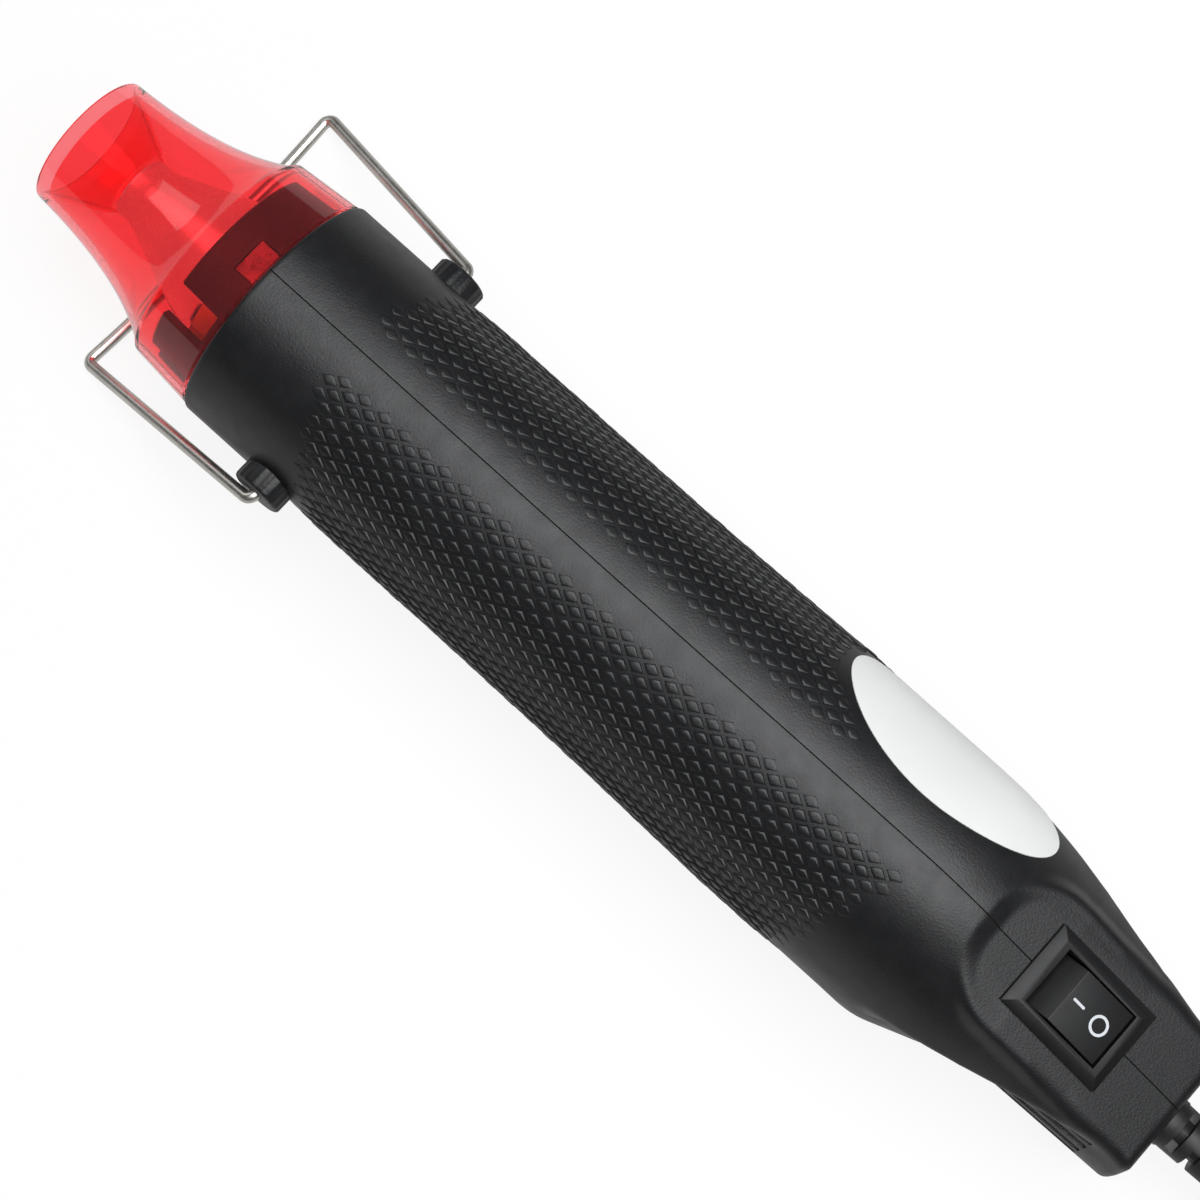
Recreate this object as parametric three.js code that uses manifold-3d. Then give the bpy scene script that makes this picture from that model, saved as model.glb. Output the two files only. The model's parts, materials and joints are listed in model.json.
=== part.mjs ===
// A hand-held hot air tool: two moulded half shells, a clear red guard over the hot nozzle,
// a wire stand on two side bosses, a rocker switch on the sloped tail and a mains cord.
// Millimetres. X runs along the tool and out of the nozzle, Z is up, out of the switch face.
// Inside the tool group the barrel axis is the X axis and x = 0 is the front edge of the shells.
import * as THREE from 'three';
import { mergeVertices } from 'three/addons/utils/BufferGeometryUtils.js';
import Module from 'manifold-3d';

const wasm = await Module();
wasm.setup();

// Gaps
const FIT = 0.3; // clearance between seated pieces
const OVER = 1; // cuts run on past the face that they open
const SEAM = 0.3; // gap between the two shells
const RUN = 0.6; // running clearance of the armature

// Shells
const WALL = 2;
const BODY_LENGTH = 185.5; // shells from the front edge to the tail end
const BARREL_R = 20.8;
const SWELL = 0.8; // the grip swells by this much towards the tail
const FRONT_EDGE = 0.5;
const WAIST_X = -55; // the barrel is straight to here, and then widens to the swell
const SWELL_LENGTH = 25;
const SHOULDER_LENGTH = 8.4; // from the swell to the corner of the neck
const NECK_LENGTH = 20.1; // between the neck's two corners
const TAIL_LENGTH = 26;
const SHOULDER_ROUND = 5.1; // the neck's corners are rounded over these lengths
const NECK_ROUND = 4.2;
const TAIL_HALF = 14.1; // half width of the tail at the neck
const TAIL_END_HALF = 13.7;
const TAIL_SINK = 5; // the tail's widest level lies this far below the axis
const TAIL_RISE = 22; // the tail's oval above that level, cut off by the switch face
const TAIL_DEPTH = 12.5; // and below it
const TAIL_EDGE = 1.6;

// Facets round a turn
const SIDES = 44;
const GUARD_SIDES = 36;
const RING_SIDES = 28; // heater and motor rings
const INNER_SIDES = 24; // the cavity and its ribs
const ROD_SIDES = 12;
const WIRE_SIDES = 8;
const LOOP_SIDES = 6;
const COIL_SIDES = 5;

// Switch block on the tail
const SWITCH_FROM_END = 22.5;
const PAD_Z = 12.1;
const PAD_SLOPE = THREE.MathUtils.degToRad(18);
const PAD_FRONT = 20; // from the switch centre to the front of the pad
const PAD_BACK = 23;
const PAD_HALF = 12.6;
const PAD_BACK_HALF = 11.6;
const PAD_CORNER = 11;
const PAD_EDGE = 2.2;
const PAD_DEPTH = 11;
const PAD_WALL = 2.2;

// Air slots in the tail
const VENT_COUNT = 5;
const VENT_HEIGHT = 1.7;
const VENT_LENGTH = 16.5;
const VENT_BACK = 6.7; // from the tail end to the slots
const VENT_TOP_Z = 3.3;
const VENT_STEP = 2.75;

// Guard
const GUARD_WALL = 1.2;
const GUARD_STEP = 0.4; // the guard's band is this much smaller than the barrel
const GUARD_TAPER = 1; // and narrows by this much to its crease
const GUARD_CREASE_X = 11.6;
const GUARD_TIP_X = 40.3;
const GUARD_TIP_R = 11.8;
const GUARD_BEND_X = 9.8; // the curve of the neck bends this far in front of the crease
const GUARD_BEND_R = 0.9; // and this far outside the mouth
const FUNNEL_X = 29.6; // inner end of the funnel that leads to the mouth
const FUNNEL_R = 5.6;
const FUNNEL_WALL = 1;
const FUNNEL_ROOT = 3.6; // from the mouth to where the funnel parts from the neck
const COLLAR_LENGTH = 9.5;
const COLLAR_WINDOWS = [[42, 6.5], [90, 9], [142, 6], [180, 6], [218, 6], [285, 12]]; // degrees, width
const COLLAR_ROOT = 1.6; // collar left whole behind the windows
const NOTCH_WIDTH = 6.4; // opening in the collar at the top seam
const NOTCH_BACK_X = 0.8;
const NOTCH_FRONT_X = 4.6;

// Heater
const TUBE_GAP = 6.4; // from the heater tube to the shells
const TUBE_WALL = 0.5;
const TUBE_FRONT_X = 6;
const TUBE_BACK_X = -44;
const NOZZLE_WALL = 0.6;
const NOZZLE_SKIRT = 7;
const NOZZLE_LIP = 1; // from the tube's front to the start of the cone
const NOZZLE_THROAT = 3;
const MICA_WALL = 0.5;
const SLEEVE_INSET = 1; // the sleeve ends this far inside the tube
const WRAP_WALL = 0.6; // mica wrap round the skirt of the nozzle
const BOARD_T = 0.8;
const BOARD_FRONT_X = 0;
const BOARD_BACK_X = -42;
const BOARD_LUG = 4;
const COIL_GAP = 1.2; // from the winding to the mica sleeve
const COIL_WIRE_R = 1;
const COIL_TURNS = 10;
const TURN_STEPS = 8;
const FUSE_R = 1.3;
const FUSE_LENGTH = 9;
const FUSE_X = -24;
const FUSE_INSET = 3.1; // from the edge of the board to the middle of the fuse

// Fan and motor
const FAN_FRONT_X = -49.5;
const FAN_DEPTH = 9;
const FAN_R = 16.4;
const FAN_HUB_R = 5;
const FAN_HUB_EDGE = 1;
const FAN_BLADES = 7;
const BLADE_T = 1.2;
const BLADE_CHORD = 9.5;
const BLADE_PITCH_DEG = 38;
const SHAFT_R = 1.15;
const SHAFT_INSET = 0.5; // the shaft ends this far inside the fan and the cap
const MOTOR_R = 12;
const MOTOR_WALL = 0.8;
const MOTOR_FRONT_X = -64;
const MOTOR_LENGTH = 27;
const MOTOR_BOSS_R = 3.2;
const MOTOR_BOSS = 2;
const CAP_T = 3;
const MAGNET_T = 3;
const MAGNET_DEG = 125;
const MAGNET_OVERHANG = 1; // past each end of the armature
const ARMATURE_LENGTH = 16;
const ARMATURE_SLOTS = 5;
const ARMATURE_SLOT = 1.6;
const BOARD_DISC_R = 10.5;
const BOARD_DISC_T = 1.2;
const DIODE_R = 1.3;
const DIODE_LENGTH = 5.2;
const DIODE_GAP = 2; // between the ends of two diodes
const DIODE_ROW = 3.9; // height of a row above or below the middle

// Ribs and screws
const RIB_T = 2;
const TUBE_RIBS_X = [-7, -39];
const MOTOR_RIBS_X = [-70, -84];
const RIB_NOTCH = 10;
const RIB_NOTCHES = 6;
const SCREW_R = 1.4;
const SCREW_LENGTH = 10;
const SCREW_HEAD_R = 2.3;
const SCREW_HEAD = 1.8;
const SCREW_SEAT_Y = -4;
const POST_WALL = 0.8;
const POST_INSET = 2.4; // from the shells' inside to the middle of a screw
const BOSS_TO_SCREW = 12;
const SWELL_TO_SCREW = 6;
const NECK_TO_SCREW = 12.5;
const END_TO_SCREW = 10;

// Wire stand
const WIRE_R = 1;
const WIRE_BEND_R = 1.3;
const WIRE_SEAT = 5; // depth of a wire end in its boss
const BOSS_X = -18.1;
const BOSS_R = 4.5;
const BOSS_RISE = 3.1; // the bosses stand this far out of the barrel
const BOSS_FLOOR = 1.6;
const BOSS_GROOVES = 6;
const BOSS_GROOVE = 0.5;
const STAND_REACH = 44.1; // pivot to cross wire
const STAND_LEFT_Y = 23.6; // the wire is sprung a little to one side
const STAND_RIGHT_Y = 34;
const STAND_BOW = 1.2;
const BOW_STEPS = 4;

// Rocker switch
const BEZEL_LENGTH = 21;
const BEZEL_WIDTH = 15;
const BEZEL_T = 1;
const BEVEL_T = 0.8; // height of the bezel's sloped rim
const BEVEL_WIDTH = 1.7;
const CASE_LENGTH = 18.8;
const CASE_WIDTH = 12.6;
const CASE_DEPTH = 11.5;
const WELL_LENGTH = 15.2;
const WELL_WIDTH = 10.2;
const WELL_DEPTH = 6;
const ROCKER_LENGTH = 14.3;
const ROCKER_TILT = THREE.MathUtils.degToRad(11);
const ROCKER_RISE = 2.5; // pivot to the ridge
const ROCKER_RIDGE = 2.7; // the ridge lies this far in front of the pivot
const ROCKER_FALL = THREE.MathUtils.degToRad(29); // slope of the short facet
const ROCKER_PROUD = 0.2; // long facet above the bezel
const ROCKER_DROP = 1.8; // pivot to the underside
const ROCKER_FOOT = 1.4; // the underside is shorter by this much at each end
const PIVOT_R = 0.9;
const PIVOT_PIN = 0.6;
const TERMINAL_W = 4.8;
const TERMINAL_T = 0.8;
const TERMINAL_L = 6;
const TERMINAL_SPACING = 9;

// Cord
const CORD_R = 2.75;
const CORD_Z = -7.3;
const RELIEF_FLANGE_R = 4.5;
const RELIEF_FLANGE_T = 1.5;
const RELIEF_LIP = 0.8; // flange beyond the neck
const RELIEF_COLLAR_R = 4.3;
const RELIEF_COLLAR_T = 2;
const RELIEF_R = 4.1;
const RELIEF_END_R = 3.5;
const RELIEF_LENGTH = 25;
const RELIEF_SLOTS = 6;
const RELIEF_SLOT = 1.6;
const RELIEF_POST = 1.5;
const RELIEF_CORE_R = 2.55;
const COIL_OUTER_R = 35.5;
const COIL_INNER_R = 22.6;
const COIL_LAYERS = 4;
const LAYER_TURNS = 23 / 12;
const LAYER_RISE = 6.1;
const LOOP_STEPS = 24;
const TIE_T = 0.6;
const TIE_WIDTH = 6;
const TIE_DEG = 180;
const COIL_START_DEG = 30;
const COIL_OFFSET = [-86.3, 2]; // from the end of the strain relief to the middle of the loops
const PLUG_LENGTH = 36;
const PLUG_WIDTH = 35;
const PLUG_NECK = 16;
const PLUG_SHOULDER = 16.2; // from the cord to the plug's full width
const PLUG_T = 13.7;
const PLUG_EDGE = 2.5;
const PIN_R = 2;
const PIN_LENGTH = 19;
const PIN_TIP = 1;
const PIN_SPACING = 18.6;

// Looks
const BLACK_PLASTIC = { color: 0x1b1c1e, roughness: 0.55, metalness: 0 };
const GLOSS_BLACK = { color: 0x141416, roughness: 0.35, metalness: 0 };
const RED_CLEAR = { color: 0xd91f2a, roughness: 0.15, transparent: true, opacity: 0.6 };
const STEEL = { color: 0xb9b6ae, roughness: 0.25, metalness: 1 };
const DULL_STEEL = { color: 0x8d8c88, roughness: 0.45, metalness: 1 };
const BRASS = { color: 0xc9a24d, roughness: 0.3, metalness: 1 };
const MICA = { color: 0xb08a52, roughness: 0.5, metalness: 0 };
const NICHROME = { color: 0x6d6a66, roughness: 0.4, metalness: 1 };
const FIBREGLASS = { color: 0x2f6b3c, roughness: 0.5, metalness: 0 };
const MAGNET = { color: 0x3a3a3c, roughness: 0.6, metalness: 0.2 };
const WHITE_PLASTIC = { color: 0xe6e4de, roughness: 0.5, metalness: 0 };
const RUBBER = { color: 0x18181a, roughness: 0.7, metalness: 0 };

// Worked out from the dimensions
const TAIL_X = -BODY_LENGTH;
const NECK_X = TAIL_X + TAIL_LENGTH;
const SHOULDER_X = NECK_X + NECK_LENGTH;
const SWELL_BACK_X = SHOULDER_X + SHOULDER_LENGTH;
const SWELL_FRONT_X = SWELL_BACK_X + SWELL_LENGTH;
const SWITCH_X = TAIL_X + SWITCH_FROM_END;
const SWELL_R = BARREL_R + SWELL;
const AXIS_HEIGHT = SWELL_R * Math.cos(Math.PI / SIDES);
const REST_X = (SWELL_FRONT_X + SWELL_BACK_X) / 2;
const FAR = 60; // larger than any section of the tool
const CAVITY_R = BARREL_R - WALL;
const GUARD_BASE_R = BARREL_R - GUARD_STEP;
const GUARD_CREASE_R = GUARD_BASE_R - GUARD_TAPER;
const TUBE_R = CAVITY_R - TUBE_GAP;
const SKIRT_R = TUBE_R + FIT + NOZZLE_WALL;
const WRAP_R = SKIRT_R + FIT;
const SLEEVE_R = TUBE_R - TUBE_WALL - FIT;
const SLEEVE_IN_R = SLEEVE_R - MICA_WALL;
const BOARD_WAIST = SLEEVE_IN_R - COIL_GAP - 2 * COIL_WIRE_R - FIT; // half width under the winding
const FUSE_Y = BOARD_WAIST - FUSE_INSET;
const SHAFT_BORE_R = SHAFT_R + FIT;
const TABLE_Z = -AXIS_HEIGHT;
const RELIEF_NECK_R = RELIEF_FLANGE_R - RELIEF_LIP;
const BOSS_FACE_Y = BARREL_R + BOSS_RISE;
const WIRE_Y = BOSS_FACE_Y + FIT + WIRE_R;
const STAND_DIP = Math.asin((AXIS_HEIGHT - WIRE_R) / STAND_REACH);
const COIL_BASE = TIE_T + FIT + CORD_R; // height of the lowest turns' middle above the table
const CORD_X = TAIL_X - RELIEF_LENGTH - 2 * FIT; // where the cord leaves the strain relief
const COIL_CENTRE = [CORD_X + COIL_OFFSET[0], COIL_OFFSET[1]];

// Screw places, low in each section of the shells
const screwAt = (x, bottom) => ({ x, z: POST_INSET + WALL - bottom });
const SCREWS = [
  screwAt(BOSS_X - BOSS_TO_SCREW, BARREL_R),
  screwAt(SWELL_FRONT_X - SWELL_TO_SCREW, SWELL_R),
  screwAt(NECK_X + NECK_TO_SCREW, TAIL_SINK + TAIL_DEPTH),
  screwAt(TAIL_X + END_TO_SCREW, TAIL_SINK + TAIL_DEPTH),
];

// Geometry helpers

// A closed body from a geometry: shared vertices merged and empty triangles dropped.
function solid(geometry) {
  geometry.deleteAttribute('normal');
  geometry.deleteAttribute('uv');
  const merged = mergeVertices(geometry, 1e-4);
  const index = merged.index.array;
  const triangles = [];
  for (let i = 0; i < index.length; i += 3) {
    const [a, b, c] = [index[i], index[i + 1], index[i + 2]];
    if (a !== b && b !== c && c !== a) triangles.push(a, b, c);
  }
  const vertProperties = new Float32Array(merged.attributes.position.array);
  const triVerts = new Uint32Array(triangles);
  return new wasm.Manifold(new wasm.Mesh({ numProp: 3, vertProperties, triVerts }));
}

// A mesh node from a closed body, with its own material.
function piece(name, body, look) {
  const mesh = body.getMesh();
  const geometry = new THREE.BufferGeometry();
  geometry.setAttribute('position', new THREE.BufferAttribute(mesh.vertProperties, 3));
  geometry.setIndex(new THREE.BufferAttribute(mesh.triVerts, 1));
  geometry.computeVertexNormals();
  const node = new THREE.Mesh(geometry, new THREE.MeshStandardMaterial(look));
  node.name = name;
  return node;
}

// A body turned about the X axis from [x, radius] pairs; the outer side runs towards +X.
function turned(profile, sides = SIDES) {
  const points = profile.map(([x, r]) => new THREE.Vector2(r, x));
  const geometry = new THREE.LatheGeometry(points, sides, Math.PI / sides);
  return solid(geometry.rotateZ(-Math.PI / 2));
}

// A tube turned about the X axis, from x0 to x1.
function sleeve(x0, x1, inner, outer, sides = SIDES) {
  return turned([[x0, inner], [x0, outer], [x1, outer], [x1, inner], [x0, inner]], sides);
}

function box(x0, x1, y0, y1, z0, z1) {
  const geometry = new THREE.BoxGeometry(x1 - x0, y1 - y0, z1 - z0);
  return solid(geometry.translate((x0 + x1) / 2, (y0 + y1) / 2, (z0 + z1) / 2));
}

// A rod along Y at (x, z).
function rodY(radius, y0, y1, x, z, sides = ROD_SIDES) {
  const geometry = new THREE.CylinderGeometry(radius, radius, y1 - y0, sides);
  return solid(geometry.translate(x, (y0 + y1) / 2, z));
}

// A rod along X at (y, z).
function rodX(radius, x0, x1, y, z, sides = ROD_SIDES) {
  const geometry = new THREE.CylinderGeometry(radius, radius, x1 - x0, sides);
  return solid(geometry.rotateZ(Math.PI / 2).translate((x0 + x1) / 2, y, z));
}

// A slab with a bevelled rim, extruded up from z = 0.
function slab(outline, depth, edge, edgeSteps = 2, curveSegments = 6) {
  const geometry = new THREE.ExtrudeGeometry(outline, {
    depth: depth - 2 * edge,
    bevelEnabled: edge > 0,
    bevelThickness: edge,
    bevelSize: edge,
    bevelOffset: -edge,
    bevelSegments: edgeSteps,
    curveSegments,
  });
  return solid(geometry.translate(0, 0, edge));
}

// A closed body through rings of points, each ring with the same number of them, with flat ends.
function loft(rings) {
  const sides = rings[0].length;
  const last = (rings.length - 1) * sides;
  const index = [];
  for (let start = 0; start < last; start += sides) {
    for (let k = 0; k < sides; k++) {
      const a = start + k;
      const b = start + ((k + 1) % sides);
      index.push(a, b, a + sides, b, b + sides, a + sides);
    }
  }
  for (let k = 1; k + 1 < sides; k++) {
    index.push(0, k + 1, k, last, last + k, last + k + 1);
  }
  const geometry = new THREE.BufferGeometry();
  geometry.setAttribute('position', new THREE.Float32BufferAttribute(rings.flat(2), 3));
  geometry.setIndex(index);
  return solid(geometry);
}

function polygon(points) {
  return new THREE.Shape(points.map(([x, y]) => new THREE.Vector2(x, y)));
}

// A tube through points with turned rings at the bends, for wire and cord loops.
function tube(points, radius, sides) {
  let side = null;
  const rings = points.map((here, i) => {
    const before = points[Math.max(i - 1, 0)];
    const after = points[Math.min(i + 1, points.length - 1)];
    const into = here.clone().sub(before).normalize();
    const out = after.clone().sub(here).normalize();
    const along = into.clone().add(out).normalize();
    if (!side) side = new THREE.Vector3(0, 0, 1);
    side = side.clone().addScaledVector(along, -side.dot(along)).normalize();
    const up = along.clone().cross(side);
    const bend = out.clone().sub(into);
    const turns = before !== here && after !== here && bend.lengthSq() > 1e-9;
    const stretch = turns ? 1 / along.dot(into) : 1;
    const across = turns ? bend.normalize() : side;
    const ring = [];
    for (let k = 0; k < sides; k++) {
      const angle = (2 * Math.PI * (k + 0.5)) / sides;
      const spoke = side.clone().multiplyScalar(Math.cos(angle)).addScaledVector(up, Math.sin(angle));
      spoke.addScaledVector(across, spoke.dot(across) * (stretch - 1));
      ring.push(here.clone().addScaledVector(spoke, radius).toArray());
    }
    return ring;
  });
  return loft(rings);
}

// The corners of a bent wire, each rounded to its own radius; 0 leaves the corner as it is.
function rounded(points, radii, steps) {
  const path = [points[0]];
  for (let i = 1; i + 1 < points.length; i++) {
    const [a, b, c] = [points[i - 1], points[i], points[i + 1]];
    const radius = radii[i];
    if (radius === 0) {
      path.push(b);
      continue;
    }
    const back = a.clone().sub(b).normalize();
    const on = c.clone().sub(b).normalize();
    const half = back.angleTo(on) / 2;
    const cut = radius / Math.tan(half);
    const centre = b.clone().addScaledVector(back.clone().add(on).normalize(), radius / Math.sin(half));
    const from = b.clone().addScaledVector(back, cut).sub(centre);
    const to = b.clone().addScaledVector(on, cut).sub(centre);
    const sweep = from.angleTo(to);
    for (let k = 0; k <= steps; k++) {
      const t = k / steps;
      const spoke = from.clone().multiplyScalar(Math.sin((1 - t) * sweep) / Math.sin(sweep));
      spoke.addScaledVector(to, Math.sin(t * sweep) / Math.sin(sweep));
      path.push(centre.clone().add(spoke));
    }
  }
  path.push(points[points.length - 1]);
  return path;
}

// The least gap between the surfaces of turns of a wound tube that aren't neighbours along it.
function leastGap(points, radius, apart) {
  let least = Infinity;
  const spots = [];
  for (let i = 0; i + 1 < points.length; i++) {
    for (const t of [0, 0.25, 0.5, 0.75]) spots.push(points[i].clone().lerp(points[i + 1], t));
  }
  const lengths = [0];
  for (let i = 1; i < spots.length; i++) lengths.push(lengths[i - 1] + spots[i].distanceTo(spots[i - 1]));
  for (let i = 0; i < spots.length; i++) {
    for (let j = i + 1; j < spots.length; j++) {
      if (lengths[j] - lengths[i] > apart) least = Math.min(least, spots[i].distanceTo(spots[j]));
    }
  }
  return least - 2 * radius;
}

// Shells

// Half widths of the shells along the tool, as [x, half], drawn in by an inset for the cavity.
function shellProfile(inset, steps) {
  const back = TAIL_X + inset;
  const tail = TAIL_HALF - inset;
  const end = TAIL_END_HALF - inset;
  const swell = SWELL_R - inset;
  const barrel = BARREL_R - inset;
  const edge = Math.max(TAIL_EDGE - inset, 0);
  const onNeck = (x) => THREE.MathUtils.mapLinear(x, NECK_X, SHOULDER_X, tail, swell);
  const neckX = NECK_X + NECK_ROUND;
  const shoulderX = SHOULDER_X - SHOULDER_ROUND;
  const path = new THREE.Path();
  path.moveTo(back, end - edge);
  if (edge > 0) path.quadraticCurveTo(back, end, back + edge, end);
  path.lineTo(NECK_X - NECK_ROUND, tail);
  path.quadraticCurveTo(NECK_X, tail, neckX, onNeck(neckX));
  path.lineTo(shoulderX, onNeck(shoulderX));
  path.quadraticCurveTo(SHOULDER_X, swell, SWELL_BACK_X, swell);
  path.lineTo(SWELL_FRONT_X, swell);
  path.quadraticCurveTo((SWELL_FRONT_X + WAIST_X) / 2, barrel, WAIST_X, barrel);
  path.lineTo(-FRONT_EDGE, barrel);
  return path.getPoints(steps).map((p) => [p.x, p.y]);
}

// The section of the shells at x as a ring: round along the barrel, and towards the tail an oval
// whose widest level lies below the axis.
function shellRing(x, half, inset, sides) {
  const share = THREE.MathUtils.smoothstep(SWELL_BACK_X - x, 0, SWELL_BACK_X - NECK_X);
  const drawn = Math.max(inset, TAIL_END_HALF - half);
  const rise = THREE.MathUtils.lerp(half, TAIL_RISE - drawn, share);
  const depth = THREE.MathUtils.lerp(half, TAIL_DEPTH - drawn, share);
  const ring = [];
  for (let k = 0; k < sides; k++) {
    const angle = (2 * Math.PI * (k + 0.5)) / sides;
    const up = Math.cos(angle);
    ring.push([x, -half * Math.sin(angle), up * (up > 0 ? rise : depth) - TAIL_SINK * share]);
  }
  return ring;
}

// Half width of the shells' outside at x.
function halfAt(x) {
  const points = shellProfile(0, 4);
  const i = points.findIndex((point) => point[0] >= x);
  const [[x0, half0], [x1, half1]] = points.slice(i - 1, i + 1);
  return THREE.MathUtils.mapLinear(x, x0, x1, half0, half1);
}

// Places a body from the pad's own frame: x along the slope, z out of the pad.
function onPad(body) {
  const slope = new THREE.Matrix4().makeRotationY(-PAD_SLOPE).setPosition(SWITCH_X, 0, PAD_Z);
  return body.transform(slope.toArray());
}

// Outline of the switch block seen square to the pad, with rounded front corners.
function padOutline(grow, back) {
  const front = PAD_FRONT + grow;
  const half = PAD_HALF + grow;
  const backHalf = PAD_BACK_HALF + grow;
  const side = front - PAD_CORNER - grow;
  const flat = Math.max(half - PAD_CORNER - grow, 1);
  const shape = new THREE.Shape();
  shape.moveTo(-back, -backHalf);
  shape.lineTo(side, -half);
  shape.quadraticCurveTo(front, -half, front, -flat);
  shape.lineTo(front, flat);
  shape.quadraticCurveTo(front, half, side, half);
  shape.lineTo(-back, backHalf);
  shape.closePath();
  return shape;
}

// Everything above the pad, or above its underside when sunk by a wall.
function abovePad(sink, grow) {
  const prism = slab(padOutline(grow, PAD_BACK + FAR), FAR, 0).translate([0, 0, -sink]);
  const tailEnd = box(-FAR, -PAD_BACK / 2, -FAR, FAR, -sink, FAR);
  return onPad(prism.add(tailEnd));
}

// Inner face of the guard's band at x.
function guardBandInside(x) {
  const t = x / GUARD_CREASE_X;
  return GUARD_BASE_R + (GUARD_CREASE_R - GUARD_BASE_R) * t - GUARD_WALL;
}

function collar() {
  const outer0 = guardBandInside(0) - FIT;
  const outer1 = guardBandInside(COLLAR_LENGTH) - FIT;
  const root = CAVITY_R + WALL / 2;
  let ring = turned([
    [-WALL, outer0 - WALL], [-WALL, root], [-FIT, root], [-FIT, outer0],
    [COLLAR_LENGTH, outer1], [COLLAR_LENGTH, outer1 - WALL], [-WALL, outer0 - WALL],
  ]);
  for (const [angle, width] of COLLAR_WINDOWS) {
    const window = box(COLLAR_ROOT, FAR, -width / 2, width / 2, 0, FAR);
    ring = ring.subtract(window.rotate([-angle, 0, 0]));
  }
  return ring.subtract(box(NOTCH_BACK_X, NOTCH_FRONT_X, -NOTCH_WIDTH / 2, NOTCH_WIDTH / 2, 0, FAR));
}

// A boss on one side for an end of the wire stand; side is +1 on the left and -1 on the right.
function boss(side) {
  const root = BOSS_FACE_Y - WIRE_SEAT - BOSS_FLOOR;
  const low = Math.min(side * root, side * BOSS_FACE_Y);
  const high = Math.max(side * root, side * BOSS_FACE_Y);
  let body = rodY(BOSS_R, low, high, BOSS_X, 0, INNER_SIDES);
  for (let k = 0; k < BOSS_GROOVES; k++) {
    const angle = (360 * (k + 0.5)) / BOSS_GROOVES;
    const half = BOSS_GROOVE / 2;
    const from = side > 0 ? BARREL_R : -FAR;
    const groove = box(-half, half, from, from + FAR - BARREL_R, BOSS_R - BOSS_GROOVE, FAR);
    body = body.subtract(groove.rotate([0, angle, 0]).translate([BOSS_X, 0, 0]));
  }
  return body;
}

function bossHole(side) {
  const low = side > 0 ? BOSS_FACE_Y - WIRE_SEAT : -FAR;
  const high = side > 0 ? FAR : -BOSS_FACE_Y + WIRE_SEAT;
  return rodY(WIRE_R + FIT, low, high, BOSS_X, 0);
}

// A ring rib across the shells behind x, round a piece of the given radius.
function rib(x, radius) {
  const flats = Math.cos(Math.PI / INNER_SIDES);
  return sleeve(x - RIB_T, x, (radius + FIT) / flats, halfAt(x) - WALL / 2, INNER_SIDES);
}

// The ribs that hold the heater tube and, notched for the air, the motor.
function ribs() {
  const parts = TUBE_RIBS_X.map((x) => rib(x, TUBE_R));
  for (const x of MOTOR_RIBS_X) {
    let notched = rib(x, MOTOR_R);
    for (let k = 0; k < RIB_NOTCHES; k++) {
      const half = RIB_NOTCH / 2;
      const notch = box(x - FAR, x + FAR, -half, half, 0, halfAt(x) - WALL);
      notched = notched.subtract(notch.rotate([(360 * (k + 0.5)) / RIB_NOTCHES, 0, 0]));
    }
    parts.push(notched);
  }
  return parts.reduce((all, part) => all.add(part));
}

function vents() {
  const x0 = TAIL_X + VENT_BACK;
  let cuts = null;
  for (let k = 0; k < VENT_COUNT; k++) {
    const z = VENT_TOP_Z - k * VENT_STEP;
    const half = VENT_HEIGHT / 2;
    const slot = box(x0, x0 + VENT_LENGTH, TAIL_END_HALF - 2 * WALL, FAR, z - half, z + half);
    const pair = slot.add(slot.mirror([0, 1, 0]));
    cuts = cuts ? cuts.add(pair) : pair;
  }
  return cuts;
}

// The closed outer body of both shells, before it is hollowed and parted.
function outerBody() {
  const profile = [...shellProfile(0, 4), [0, BARREL_R - FRONT_EDGE]];
  const barrel = loft(profile.map(([x, half]) => shellRing(x, half, 0, SIDES)));
  const pad = slab(padOutline(0, PAD_BACK), PAD_DEPTH, PAD_EDGE).translate([0, 0, -PAD_DEPTH]);
  return barrel.add(onPad(pad)).subtract(abovePad(0, 0));
}

function cavity() {
  const collarIn = guardBandInside(COLLAR_LENGTH) - FIT - WALL;
  const inside = shellProfile(WALL, 2).filter(([x]) => x < -WALL);
  const profile = [...inside, [-WALL, CAVITY_R], [-WALL, collarIn], [FAR, collarIn]];
  const hollow = loft(profile.map(([x, half]) => shellRing(x, half, WALL, INNER_SIDES)));
  return hollow.subtract(abovePad(PAD_WALL, WALL));
}

function switchHole() {
  const half = [CASE_LENGTH / 2 + FIT, CASE_WIDTH / 2 + FIT];
  return onPad(box(-half[0], half[0], -half[1], half[1], -CASE_DEPTH - FIT, FAR));
}

function reliefHole() {
  return rodX(RELIEF_NECK_R + FIT, TAIL_X - OVER, TAIL_X + WALL + OVER, 0, CORD_Z, INNER_SIDES);
}

// Posts around the screws: plain in the left shell, with a head pocket in the right one.
function posts(side, outer) {
  const radius = side > 0 ? SCREW_R + FIT + POST_WALL : SCREW_HEAD_R + FIT + POST_WALL;
  const low = side > 0 ? SEAM / 2 : -FAR;
  const high = side > 0 ? FAR : -SEAM / 2;
  const all = SCREWS.map(({ x, z }) => rodY(radius, low, high, x, z));
  return all.reduce((sum, part) => sum.add(part)).intersect(outer);
}

function screwHoles(side) {
  const tip = SCREW_SEAT_Y + SCREW_LENGTH + FIT;
  const all = SCREWS.map(({ x, z }) => {
    if (side > 0) return rodY(SCREW_R + FIT, -OVER, tip, x, z);
    const pocket = rodY(SCREW_HEAD_R + FIT, -FAR, SCREW_SEAT_Y + FIT, x, z);
    return pocket.add(rodY(SCREW_R + FIT, -FAR, OVER, x, z));
  });
  return all.reduce((sum, part) => sum.add(part));
}

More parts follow.
